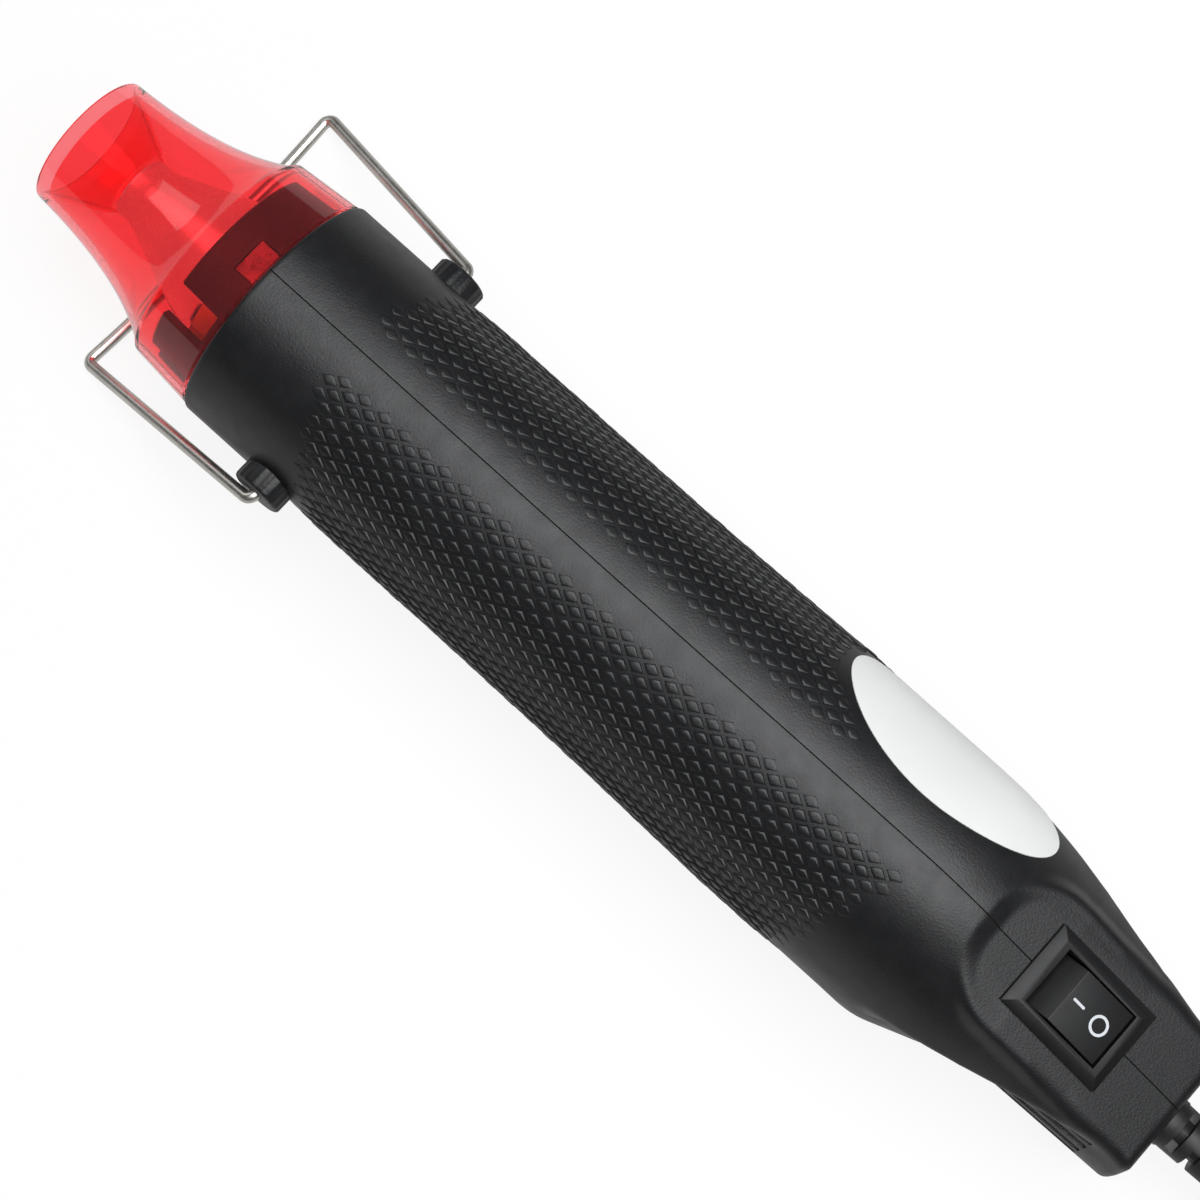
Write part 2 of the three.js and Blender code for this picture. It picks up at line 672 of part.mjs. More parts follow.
// One half of the housing: side +1 is the left half, -1 the right half.
function shell(side) {
  const outer = outerBody();
  const leftHalf = box(TAIL_X - FAR, FAR, SEAM / 2, FAR, -FAR, FAR);
  const half = side > 0 ? leftHalf : leftHalf.mirror([0, 1, 0]);
  const hollow = outer.subtract(cavity());
  const body = hollow.add(collar()).add(ribs()).intersect(half);
  const fitted = body.add(posts(side, outer)).add(boss(side));
  return fitted.subtract(bossHole(side)).subtract(screwHoles(side)).subtract(vents())
    .subtract(switchHole()).subtract(reliefHole());
}

function screw({ x, z }) {
  const y0 = SCREW_SEAT_Y - SCREW_HEAD;
  const shank = rodY(SCREW_R, SCREW_SEAT_Y, SCREW_SEAT_Y + SCREW_LENGTH, x, z, WIRE_SIDES);
  return rodY(SCREW_HEAD_R, y0, SCREW_SEAT_Y, x, z).add(shank);
}

// Guard, nozzle and heater

// The red guard: a banded base, a trumpet neck, and a funnel inside the mouth.
function guard() {
  const path = new THREE.Path();
  const inTipR = GUARD_TIP_R - GUARD_WALL;
  const bendX = GUARD_CREASE_X + GUARD_BEND_X;
  const bendR = GUARD_TIP_R + GUARD_BEND_R;
  const inCreaseR = GUARD_CREASE_R - GUARD_WALL;
  path.moveTo(FIT, GUARD_BASE_R);
  path.lineTo(GUARD_CREASE_X, GUARD_CREASE_R);
  path.quadraticCurveTo(bendX, bendR, GUARD_TIP_X, GUARD_TIP_R);
  path.lineTo(GUARD_TIP_X, inTipR);
  path.lineTo(FUNNEL_X, FUNNEL_R);
  path.lineTo(FUNNEL_X, FUNNEL_R + FUNNEL_WALL);
  path.lineTo(GUARD_TIP_X - FUNNEL_ROOT, inTipR);
  path.quadraticCurveTo(bendX - GUARD_WALL / 2, bendR - GUARD_WALL, GUARD_CREASE_X, inCreaseR);
  path.lineTo(FIT, GUARD_BASE_R - GUARD_WALL);
  path.lineTo(FIT, GUARD_BASE_R);
  return turned(path.getPoints(5).map((p) => [p.x, p.y]), GUARD_SIDES);
}

// The steel nozzle: a skirt over the heater tube, a cone and a short throat.
function heatNozzle() {
  const back = TUBE_FRONT_X - NOZZLE_SKIRT;
  const lipX = TUBE_FRONT_X + NOZZLE_LIP;
  const throatR = FUNNEL_R - FIT;
  const throatX = FUNNEL_X - FIT;
  const coneX = throatX - NOZZLE_THROAT;
  return turned([
    [back, SKIRT_R - NOZZLE_WALL], [back, SKIRT_R], [lipX, SKIRT_R],
    [coneX, throatR], [throatX, throatR],
    [throatX, throatR - NOZZLE_WALL], [coneX, throatR - NOZZLE_WALL],
    [lipX, SKIRT_R - NOZZLE_WALL], [back, SKIRT_R - NOZZLE_WALL],
  ], RING_SIDES);
}

// One of the two crossed mica boards, lying in the XY plane; slotted from the front or the back.
function micaBoard(slotFromFront) {
  const lugR = SLEEVE_IN_R - FIT;
  const front = BOARD_FRONT_X;
  const back = BOARD_BACK_X;
  const lugFront = front - BOARD_LUG;
  const lugBack = back + BOARD_LUG;
  const outline = polygon([
    [back, -lugR], [lugBack, -lugR], [lugBack, -BOARD_WAIST], [lugFront, -BOARD_WAIST],
    [lugFront, -lugR], [front, -lugR], [front, lugR], [lugFront, lugR],
    [lugFront, BOARD_WAIST], [lugBack, BOARD_WAIST], [lugBack, lugR], [back, lugR],
  ]);
  const middle = (front + back) / 2;
  const half = BOARD_T / 2 + FIT;
  const slot = slotFromFront
    ? box(middle - FIT / 2, front + OVER, -half, half, -BOARD_T, BOARD_T)
    : box(back - OVER, middle + FIT / 2, -half, half, -BOARD_T, BOARD_T);
  return slab(outline, BOARD_T, 0).translate([0, 0, -BOARD_T / 2]).subtract(slot);
}

// The winding round the crossed boards, its straight ends against the lugs of the upright board.
function windingPath() {
  const radius = BOARD_WAIST + FIT + COIL_WIRE_R;
  const straight = 2 * COIL_WIRE_R;
  const from = BOARD_BACK_X + BOARD_LUG + FIT;
  const to = BOARD_FRONT_X - BOARD_LUG - FIT;
  const steps = COIL_TURNS * TURN_STEPS;
  const points = [new THREE.Vector3(from, 0, radius)];
  for (let i = 0; i <= steps; i++) {
    const angle = (2 * Math.PI * i) / TURN_STEPS;
    const x = from + straight + ((to - from - 2 * straight) * i) / steps;
    points.push(new THREE.Vector3(x, radius * Math.sin(angle), radius * Math.cos(angle)));
  }
  points.push(new THREE.Vector3(to, 0, radius));
  return points;
}

// Fan and motor

function fanImpeller() {
  const back = FAN_FRONT_X - FAN_DEPTH;
  const middle = (FAN_FRONT_X + back) / 2;
  let body = turned([
    [back, 0], [back, FAN_HUB_R], [FAN_FRONT_X - FAN_HUB_EDGE, FAN_HUB_R],
    [FAN_FRONT_X, FAN_HUB_R - FAN_HUB_EDGE], [FAN_FRONT_X, 0],
  ], INNER_SIDES);
  for (let k = 0; k < FAN_BLADES; k++) {
    const [chord, thick] = [BLADE_CHORD / 2, BLADE_T / 2];
    const blade = box(-chord, chord, -thick, thick, FAN_HUB_R / 2, FAR);
    const set = blade.rotate([0, 0, BLADE_PITCH_DEG]).translate([middle, 0, 0]);
    body = body.add(set.rotate([(360 * k) / FAN_BLADES, 0, 0]));
  }
  const swept = turned([[back, 0], [back, FAN_R], [FAN_FRONT_X, FAN_R], [FAN_FRONT_X, 0]], RING_SIDES);
  return body.intersect(swept).subtract(rodX(SHAFT_BORE_R, back - OVER, FAN_FRONT_X + OVER, 0, 0));
}

function motorCan() {
  const back = MOTOR_FRONT_X - MOTOR_LENGTH;
  const nose = MOTOR_FRONT_X + MOTOR_BOSS;
  const inR = MOTOR_R - MOTOR_WALL;
  const inFront = MOTOR_FRONT_X - MOTOR_WALL;
  return turned([
    [back, inR], [back, MOTOR_R], [MOTOR_FRONT_X, MOTOR_R], [MOTOR_FRONT_X, MOTOR_BOSS_R],
    [nose, MOTOR_BOSS_R], [nose, SHAFT_BORE_R], [inFront, SHAFT_BORE_R], [inFront, inR], [back, inR],
  ], RING_SIDES);
}

function motorCap() {
  const front = MOTOR_FRONT_X - MOTOR_LENGTH - FIT;
  return sleeve(front - CAP_T, front, SHAFT_BORE_R, MOTOR_R, RING_SIDES);
}

// One of the two curved magnets: side +1 is above the armature, -1 below it.
function motorMagnet(side) {
  const outer = MOTOR_R - MOTOR_WALL - FIT;
  const half = THREE.MathUtils.degToRad(MAGNET_DEG / 2);
  const shape = new THREE.Shape();
  shape.absarc(0, 0, outer, -half, half, false);
  shape.absarc(0, 0, outer - MAGNET_T, half, -half, true);
  const length = ARMATURE_LENGTH + 2 * MAGNET_OVERHANG;
  const back = armatureMiddle() - length / 2;
  const body = slab(shape, length, 0, 1, 10).rotate([0, 90, 0]).translate([back, 0, 0]);
  return side > 0 ? body.rotate([180, 0, 0]) : body;
}

function armatureMiddle() {
  return MOTOR_FRONT_X - MOTOR_LENGTH / 2;
}

function motorArmature() {
  const radius = MOTOR_R - MOTOR_WALL - FIT - MAGNET_T - RUN;
  const x0 = armatureMiddle() - ARMATURE_LENGTH / 2;
  const x1 = x0 + ARMATURE_LENGTH;
  let body = sleeve(x0, x1, SHAFT_BORE_R, radius, INNER_SIDES);
  for (let k = 0; k < ARMATURE_SLOTS; k++) {
    const half = ARMATURE_SLOT / 2;
    const slot = box(x0 - OVER, x1 + OVER, -half, half, radius / 2, FAR);
    body = body.subtract(slot.rotate([(360 * k) / ARMATURE_SLOTS, 0, 0]));
  }
  return body;
}

function motorShaft() {
  const back = MOTOR_FRONT_X - MOTOR_LENGTH - FIT - CAP_T;
  return rodX(SHAFT_R, back + SHAFT_INSET, FAN_FRONT_X - SHAFT_INSET, 0, 0);
}

const BOARD_DISC_X = MOTOR_FRONT_X - MOTOR_LENGTH - 2 * FIT - CAP_T;

function rectifierBoard() {
  const back = BOARD_DISC_X - BOARD_DISC_T;
  return rodX(BOARD_DISC_R, back, BOARD_DISC_X, 0, 0, RING_SIDES);
}

function diode(row, column) {
  const x = BOARD_DISC_X - BOARD_DISC_T - FIT - DIODE_R;
  const y = (column * (DIODE_LENGTH + DIODE_GAP)) / 2;
  return rodY(DIODE_R, y - DIODE_LENGTH / 2, y + DIODE_LENGTH / 2, x, row * DIODE_ROW);
}

// Switch, in the pad's own frame

function switchBody() {
  const [length, width] = [BEZEL_LENGTH / 2, BEZEL_WIDTH / 2];
  const outline = polygon([[-length, -width], [length, -width], [length, width], [-length, width]]);
  const frame = new THREE.ExtrudeGeometry(outline, {
    depth: BEZEL_T - BEVEL_T,
    bevelThickness: BEVEL_T,
    bevelSize: BEVEL_WIDTH,
    bevelOffset: -BEVEL_WIDTH,
    bevelSegments: 1,
  });
  const top = FIT + BEZEL_T;
  const plate = solid(frame).translate([0, 0, FIT]).subtract(box(-FAR, FAR, -FAR, FAR, -FAR, FIT));
  const [caseX, caseY] = [CASE_LENGTH / 2, CASE_WIDTH / 2];
  const body = plate.add(box(-caseX, caseX, -caseY, caseY, -CASE_DEPTH, top / 2));
  const [wellX, wellY] = [WELL_LENGTH / 2, WELL_WIDTH / 2];
  const pinEnd = wellY + PIVOT_PIN + FIT;
  const pins = rodY(PIVOT_R + FIT, -pinEnd, pinEnd, 0, rockerPivotZ());
  return body.subtract(box(-wellX, wellX, -wellY, wellY, top - WELL_DEPTH, FAR)).subtract(pins);
}

function rockerPivotZ() {
  const facet = ROCKER_RISE * Math.cos(ROCKER_TILT) - ROCKER_RIDGE * Math.sin(ROCKER_TILT);
  return FIT + BEZEL_T + ROCKER_PROUD - facet;
}

// The rocker: a short and a long facet that fall from a ridge, on two side pins. It is tilted with
// its short end pressed, so that the long facet lies level with the bezel.
function switchRocker() {
  const end = ROCKER_LENGTH / 2;
  const frontDrop = (end - ROCKER_RIDGE) * Math.tan(ROCKER_FALL);
  const backDrop = (end + ROCKER_RIDGE) * Math.tan(ROCKER_TILT);
  const foot = end - ROCKER_FOOT;
  const width = WELL_WIDTH - 2 * FIT;
  const outline = polygon([
    [-foot, -ROCKER_DROP], [foot, -ROCKER_DROP],
    [end, ROCKER_RISE - frontDrop], [ROCKER_RIDGE, ROCKER_RISE], [-end, ROCKER_RISE - backDrop],
  ]);
  const body = slab(outline, width, 0).rotate([90, 0, 0]).translate([0, width / 2, 0]);
  const pins = rodY(PIVOT_R, -width / 2 - PIVOT_PIN, width / 2 + PIVOT_PIN, 0, 0);
  return body.add(pins).rotate([0, THREE.MathUtils.radToDeg(ROCKER_TILT), 0]);
}

function switchTerminal(end) {
  const x = (end * TERMINAL_SPACING) / 2;
  const top = -CASE_DEPTH - FIT;
  const [thick, wide] = [TERMINAL_T / 2, TERMINAL_W / 2];
  return box(x - thick, x + thick, -wide, wide, top - TERMINAL_L, top);
}

// Wire stand, in its own frame: x away from the pivot axis, z square to the wire's plane

function wireStand() {
  const end = BOSS_FACE_Y - WIRE_SEAT + FIT;
  const endBend = WIRE_Y - BOSS_FACE_Y;
  const corners = [[0, end, 0], [0, WIRE_Y, endBend], [STAND_REACH, STAND_LEFT_Y, WIRE_BEND_R]];
  for (let k = 1; k < BOW_STEPS; k++) {
    const t = k / BOW_STEPS;
    const y = STAND_LEFT_Y - (STAND_LEFT_Y + STAND_RIGHT_Y) * t;
    corners.push([STAND_REACH - STAND_BOW * 4 * t * (1 - t), y, 0]);
  }
  corners.push([STAND_REACH, -STAND_RIGHT_Y, WIRE_BEND_R], [0, -WIRE_Y, endBend], [0, -end, 0]);
  const points = corners.map(([x, y]) => new THREE.Vector3(x, y, 0));
  const radii = corners.map((corner) => corner[2]);
  return tube(rounded(points, radii, 4), WIRE_R, WIRE_SIDES);
}

// Cord

// The strain relief: a flange inside the tail, a collar outside and a slotted, tapered boot.
function strainRelief() {
  const wallIn = TAIL_X + WALL + FIT;
  const out = TAIL_X - FIT;
  const boot = out - RELIEF_COLLAR_T;
  const end = out - RELIEF_LENGTH;
  let body = turned([
    [end, 0], [end, RELIEF_END_R], [boot, RELIEF_R], [boot, RELIEF_COLLAR_R],
    [out, RELIEF_COLLAR_R], [out, RELIEF_NECK_R], [wallIn, RELIEF_NECK_R],
    [wallIn, RELIEF_FLANGE_R], [wallIn + RELIEF_FLANGE_T, RELIEF_FLANGE_R], [wallIn + RELIEF_FLANGE_T, 0],
  ], INNER_SIDES);
  const pitch = (boot - end) / (RELIEF_SLOTS + 0.5);
  for (let k = 0; k < RELIEF_SLOTS; k++) {
    const x = boot - pitch * (k + 0.5);
    const slot = box(x - RELIEF_SLOT / 2, x + RELIEF_SLOT / 2, RELIEF_POST, FAR, -FAR, FAR);
    const pair = slot.add(slot.rotate([180, 0, 0]));
    body = body.subtract(k % 2 ? pair : pair.rotate([90, 0, 0]));
  }
  const core = rodX(RELIEF_CORE_R, end + RELIEF_SLOT / 2, boot, 0, 0);
  return body.add(core).translate([0, 0, CORD_Z]);
}

// Free stretches: x from the end of the strain relief, y, and the height of the cord's middle above
// the table.
const CORD_ROUTE = [
  [0, 0, 14.25], [-3.6, 0, 14.25], [-7.2, 0, 14.2], [-10.9, 0, 13.9], [-14.5, 0, 13.3],
  [-18.1, 0, 12.5], [-21.7, 0, 11.5], [-25.4, 0, 10.3], [-29, 0.1, 9.1], [-32.6, 0.5, 7.9],
  [-36.1, 1.4, 6.7], [-39.5, 2.7, 5.7], [-42.7, 4.4, 4.8], [-45.6, 6.5, 4.2], [-48.3, 9, 3.8],
  [-50.7, 11.7, 3.65], [-52.7, 14.7, 3.65],
];
const TAIL_ROUTE = [
  [-80.5, -33.5, 21.95], [-77.2, -33.5, 21.95], [-74, -33.5, 21.7], [-70.7, -33.5, 21],
  [-67.4, -33.5, 20], [-64.2, -33.5, 18.6], [-60.9, -33.5, 17], [-57.6, -33.5, 15.3],
  [-54.4, -33.5, 13.5], [-51.1, -33.5, 11.8], [-47.8, -33.5, 10.2], [-44.6, -33.5, 8.8],
  [-41.3, -33.5, 7.8], [-38, -33.5, 7.1], [-34.8, -33.5, 6.85], [-31.5, -33.5, 6.85],
];

function freeCord(route) {
  const points = route.map(([x, y, h]) => new THREE.Vector3(CORD_X + x, y, TABLE_Z + h));
  const section = new THREE.Shape().absarc(0, 0, CORD_R, 0, 2 * Math.PI, false);
  const geometry = new THREE.ExtrudeGeometry(section, {
    steps: route.length + 2,
    curveSegments: 5,
    extrudePath: new THREE.CatmullRomCurve3(points),
  });
  return solid(geometry);
}

// Loops of put-away cord: in and out again over the layers, climbing in the half turn of each reversal.
function coilPath() {
  const layerSteps = LAYER_TURNS * LOOP_STEPS;
  const steps = Math.round(COIL_LAYERS * layerSteps);
  const quarter = LOOP_STEPS / 4;
  const points = [];
  for (let i = 0; i <= steps; i++) {
    const layer = Math.min(Math.floor(i / layerSteps), COIL_LAYERS - 1);
    const t = i / layerSteps - layer;
    const share = layer % 2 ? 1 - t : t;
    const radius = COIL_OUTER_R - (COIL_OUTER_R - COIL_INNER_R) * share;
    const reversal = Math.round(i / layerSteps);
    const past = (i - reversal * layerSteps) / quarter;
    const climbing = reversal > 0 && reversal < COIL_LAYERS && Math.abs(past) < 1;
    const level = climbing ? reversal - 0.5 + 0.5 * Math.sin((past * Math.PI) / 2) : layer;
    const angle = THREE.MathUtils.degToRad(COIL_START_DEG) + (2 * Math.PI * i) / LOOP_STEPS;
    const x = COIL_CENTRE[0] + radius * Math.cos(angle);
    const y = COIL_CENTRE[1] + radius * Math.sin(angle);
    points.push(new THREE.Vector3(x, y, TABLE_Z + COIL_BASE + level * LAYER_RISE));
  }
  const straight = 2 * CORD_R;
  const lead = (point, angle, length) => new THREE.Vector3(-Math.sin(angle), Math.cos(angle), 0)
    .multiplyScalar(length).add(point);
  const first = THREE.MathUtils.degToRad(COIL_START_DEG);
  const last = first + (2 * Math.PI * steps) / LOOP_STEPS;
  return [lead(points[0], first, -straight), ...points, lead(points[steps], last, straight)];
}

// A flat band round the bundle of loops.
function cordTie() {
  const high = (COIL_LAYERS - 1) * LAYER_RISE + 2 * CORD_R + 2 * FIT;
  const wide = COIL_OUTER_R - COIL_INNER_R + 2 * CORD_R + 2 * FIT;
  const ring = (grow) => {
    const [w, h] = [wide / 2 + grow, high / 2 + grow];
    return polygon([[-w, -h], [w, -h], [w, h], [-w, h]]);
  };
  const hole = slab(ring(0), TIE_WIDTH + 2 * OVER, 0).translate([0, 0, -OVER]);
  const band = slab(ring(TIE_T), TIE_WIDTH, 0).subtract(hole).translate([0, 0, -TIE_WIDTH / 2]);
  const middle = (COIL_OUTER_R + COIL_INNER_R) / 2;
  const upright = band.rotate([90, 0, 0]).translate([middle, 0, TIE_T + high / 2]);
  return upright.rotate([0, 0, TIE_DEG]).translate([COIL_CENTRE[0], COIL_CENTRE[1], TABLE_Z]);
}

// A flat two-pin plug that lies on the table with its pins towards +X.
function plugBody() {
  const [neck, wide] = [PLUG_NECK / 2, PLUG_WIDTH / 2];
  const outline = polygon([
    [0, -neck], [PLUG_SHOULDER, -wide], [PLUG_LENGTH, -wide],
    [PLUG_LENGTH, wide], [PLUG_SHOULDER, wide], [0, neck],
  ]);
  return slab(outline, PLUG_T, PLUG_EDGE);
}

function plugPin(side) {
  const x0 = PLUG_LENGTH + FIT;
  const end = x0 + PIN_LENGTH;
  const outline = [[x0, 0], [x0, PIN_R], [end - PIN_TIP, PIN_R], [end, PIN_R - PIN_TIP], [end, 0]];
  const pin = turned(outline, ROD_SIDES);
  return pin.translate([0, (side * PIN_SPACING) / 2, PLUG_T / 2]);
}

// Assembly

const tool = new THREE.Group();
tool.position.set(-REST_X, 0, AXIS_HEIGHT);

tool.add(piece('shell_left', shell(1), BLACK_PLASTIC));
tool.add(piece('shell_right', shell(-1), BLACK_PLASTIC));
SCREWS.forEach((place, i) => tool.add(piece(`housing_screw_${i + 1}`, screw(place), STEEL)));

tool.add(piece('nozzle_guard', guard(), RED_CLEAR));
tool.add(piece('heat_nozzle', heatNozzle(), STEEL));
const [wrapBack, wrapFront] = [TUBE_FRONT_X - NOZZLE_SKIRT, TUBE_FRONT_X];
const wrap = sleeve(wrapBack, wrapFront, WRAP_R, WRAP_R + WRAP_WALL, RING_SIDES);
tool.add(piece('nozzle_wrap', wrap, MICA));
const heaterTube = sleeve(TUBE_BACK_X, TUBE_FRONT_X, TUBE_R - TUBE_WALL, TUBE_R, RING_SIDES);
tool.add(piece('heater_tube', heaterTube, DULL_STEEL));
const [sleeveBack, sleeveFront] = [TUBE_BACK_X + SLEEVE_INSET, TUBE_FRONT_X - SLEEVE_INSET];
tool.add(piece('mica_sleeve', sleeve(sleeveBack, sleeveFront, SLEEVE_IN_R, SLEEVE_R, RING_SIDES), MICA));
tool.add(piece('mica_board_flat', micaBoard(true), MICA));
tool.add(piece('mica_board_upright', micaBoard(false).rotate([90, 0, 0]), MICA));
const winding = windingPath();
tool.add(piece('heating_coil', tube(winding, COIL_WIRE_R, COIL_SIDES), NICHROME));
const fuseZ = BOARD_T / 2 + FIT + FUSE_R;
const fuse = rodX(FUSE_R, FUSE_X - FUSE_LENGTH / 2, FUSE_X + FUSE_LENGTH / 2, FUSE_Y, fuseZ);
tool.add(piece('thermal_fuse', fuse, WHITE_PLASTIC));

tool.add(piece('fan_impeller', fanImpeller(), BLACK_PLASTIC));
tool.add(piece('motor_shaft', motorShaft(), STEEL));
tool.add(piece('motor_armature', motorArmature(), DULL_STEEL));
tool.add(piece('motor_can', motorCan(), STEEL));
tool.add(piece('motor_magnet_lower', motorMagnet(-1), MAGNET));
tool.add(piece('motor_magnet_upper', motorMagnet(1), MAGNET));
tool.add(piece('motor_cap', motorCap(), WHITE_PLASTIC));
tool.add(piece('rectifier_board', rectifierBoard(), FIBREGLASS));
for (const row of [-1, 1]) {
  for (const column of [-1, 1]) {
    const number = 1 + (row + 1) + (column + 1) / 2;
    tool.add(piece(`rectifier_diode_${number}`, diode(row, column), BLACK_PLASTIC));
  }
}

const switchGroup = new THREE.Group();
switchGroup.position.set(SWITCH_X, 0, PAD_Z);
switchGroup.rotation.y = -PAD_SLOPE;
switchGroup.add(piece('switch_body', switchBody(), GLOSS_BLACK));
const rocker = piece('switch_rocker', switchRocker(), GLOSS_BLACK);
rocker.position.z = rockerPivotZ();
switchGroup.add(rocker);
switchGroup.add(piece('switch_terminal_front', switchTerminal(1), BRASS));
switchGroup.add(piece('switch_terminal_back', switchTerminal(-1), BRASS));
tool.add(switchGroup);

const stand = piece('wire_stand', wireStand(), STEEL);
stand.position.set(BOSS_X, 0, 0);
stand.rotation.y = STAND_DIP;
tool.add(stand);

tool.add(piece('strain_relief', strainRelief(), RUBBER));
tool.add(piece('power_cord', freeCord(CORD_ROUTE), RUBBER));
const loops = coilPath();
tool.add(piece('cord_coil', tube(loops, CORD_R, LOOP_SIDES), RUBBER));
tool.add(piece('cord_tie', cordTie(), RUBBER));
tool.add(piece('cord_tail', freeCord(TAIL_ROUTE), RUBBER));
const plug = new THREE.Group();
const [plugX, plugY] = TAIL_ROUTE[TAIL_ROUTE.length - 1];
plug.position.set(CORD_X + plugX + FIT, plugY, TABLE_Z);
plug.add(piece('plug_body', plugBody(), RUBBER));
plug.add(piece('plug_pin_left', plugPin(1), STEEL));
plug.add(piece('plug_pin_right', plugPin(-1), STEEL));
tool.add(plug);

// Half a turn is taken as apart along the winding or the cord.
const windingGap = leastGap(winding, COIL_WIRE_R, Math.PI * BOARD_WAIST);
const loopGap = leastGap(loops, CORD_R, Math.PI * COIL_INNER_R);
console.log('least gap between turns of the heating coil, mm:', windingGap.toFixed(2));
console.log('least gap between loops of the cord, mm:', loopGap.toFixed(2));

const hotAirTool = new THREE.Group();
hotAirTool.add(tool);

export default hotAirTool;
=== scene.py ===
import json
import math

import bmesh
import bpy
import numpy as np
from mathutils import Matrix, Vector

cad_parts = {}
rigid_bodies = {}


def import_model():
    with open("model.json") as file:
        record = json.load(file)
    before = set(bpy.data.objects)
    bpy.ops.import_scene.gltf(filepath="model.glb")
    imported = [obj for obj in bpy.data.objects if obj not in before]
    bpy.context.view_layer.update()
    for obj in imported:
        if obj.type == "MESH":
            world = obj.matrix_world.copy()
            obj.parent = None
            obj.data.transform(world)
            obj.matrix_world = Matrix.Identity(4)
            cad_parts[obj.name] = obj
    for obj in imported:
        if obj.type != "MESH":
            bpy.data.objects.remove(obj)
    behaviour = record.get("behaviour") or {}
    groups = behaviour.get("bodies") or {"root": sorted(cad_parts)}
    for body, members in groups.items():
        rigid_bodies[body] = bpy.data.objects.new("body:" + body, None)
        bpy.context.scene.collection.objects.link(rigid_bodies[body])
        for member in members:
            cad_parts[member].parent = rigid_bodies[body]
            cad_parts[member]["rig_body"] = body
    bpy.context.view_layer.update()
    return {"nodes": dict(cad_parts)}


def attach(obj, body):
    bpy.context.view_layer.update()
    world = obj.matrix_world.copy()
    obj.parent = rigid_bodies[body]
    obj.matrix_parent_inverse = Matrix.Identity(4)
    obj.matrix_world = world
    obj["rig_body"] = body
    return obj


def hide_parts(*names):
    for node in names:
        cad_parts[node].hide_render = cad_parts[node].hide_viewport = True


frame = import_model()
nodes = frame["nodes"]

# Sizes are in millimetres in the tool's own frame: X along the barrel with 0 at the front edge
# of the shells, Z up from the barrel's axis. at() turns them into metres on the table.
REST_X = -118.5
AXIS_HEIGHT = 21.545
MM = 0.001


def at(x, y, z):
    return Vector(((x - REST_X) * MM, y * MM, (z + AXIS_HEIGHT) * MM))


def on_table(x, y, height):
    return Vector(((x - REST_X) * MM, y * MM, height * MM))


# Camera
CAMERA_PLACE = (-105.986, 84.088, 449.038)
CAMERA_RIGHT = (-0.74198, -0.66745, 0.06307)
CAMERA_DOWN = (-0.66543, 0.72175, -0.19048)
CAMERA_FORWARD = (0.08161, -0.18330, -0.97966)
CAMERA_LENS = 88.786
CAMERA_SENSOR = 36
CAMERA_NEAR = 0.01


def make_camera():
    data = bpy.data.cameras.new("camera")
    data.lens = CAMERA_LENS
    data.sensor_width = CAMERA_SENSOR
    data.clip_start = CAMERA_NEAR
    camera = bpy.data.objects.new("camera", data)
    bpy.context.scene.collection.objects.link(camera)
    up, back = [-v for v in CAMERA_DOWN], [-v for v in CAMERA_FORWARD]
    turn = Matrix((CAMERA_RIGHT, up, back)).transposed()
    camera.matrix_world = Matrix.Translation(at(*CAMERA_PLACE)) @ turn.to_4x4()
    bpy.context.scene.camera = camera


make_camera()
bpy.context.scene.view_settings.view_transform = "Standard"


# Materials

def new_material(name):
    material = bpy.data.materials.new(name)
    material.use_nodes = True
    tree = material.node_tree
    return material, tree, tree.nodes["Principled BSDF"]


def add_node(tree, kind, **settings):
    node = tree.nodes.new(kind)
    for key, value in settings.items():
        if hasattr(node, key):
            setattr(node, key, value)
        else:
            node.inputs[key].default_value = value
    return node


def noise(tree, scale, detail):
    place = add_node(tree, "ShaderNodeTexCoord")
    texture = add_node(tree, "ShaderNodeTexNoise", Scale=scale, Detail=detail, Roughness=0.5)
    tree.links.new(place.outputs["Object"], texture.inputs["Vector"])
    return texture.outputs["Fac"]


RAMP_STOPS = (0.3, 0.7)


def ramp(tree, source, low, high):
    """A colour ramp between two colours, or two grey levels."""
    node = add_node(tree, "ShaderNodeValToRGB")
    stops = node.color_ramp.elements
    for stop, place, value in zip(stops, RAMP_STOPS, (low, high)):
        stop.position = place
        stop.color = (value, value, value, 1) if isinstance(value, float) else (*value, 1)
    tree.links.new(source, node.inputs["Fac"])
    return node.outputs["Color"]


def bump(tree, source, distance_mm):
    node = add_node(tree, "ShaderNodeBump", Strength=1.0, Distance=distance_mm * MM)
    tree.links.new(source, node.inputs["Height"])
    return node.outputs["Normal"]


def surface(name, colour, colour_2, roughness, metallic=0.0, grain=900.0, grain_mm=0.03,
            specular=0.5, patch=60.0):
    """A material with cloudy colour and roughness and a fine grain in its relief.
    roughness is a pair, for the clouds' two extremes."""
    material, tree, shader = new_material(name)
    clouds = noise(tree, patch, 4.0)
    tree.links.new(ramp(tree, clouds, colour, colour_2), shader.inputs["Base Color"])
    tree.links.new(ramp(tree, noise(tree, patch * 5, 5.0), *roughness), shader.inputs["Roughness"])
    tree.links.new(bump(tree, noise(tree, grain, 2.0), grain_mm), shader.inputs["Normal"])
    shader.inputs["Metallic"].default_value = metallic
    shader.inputs["Specular IOR Level"].default_value = specular
    return material


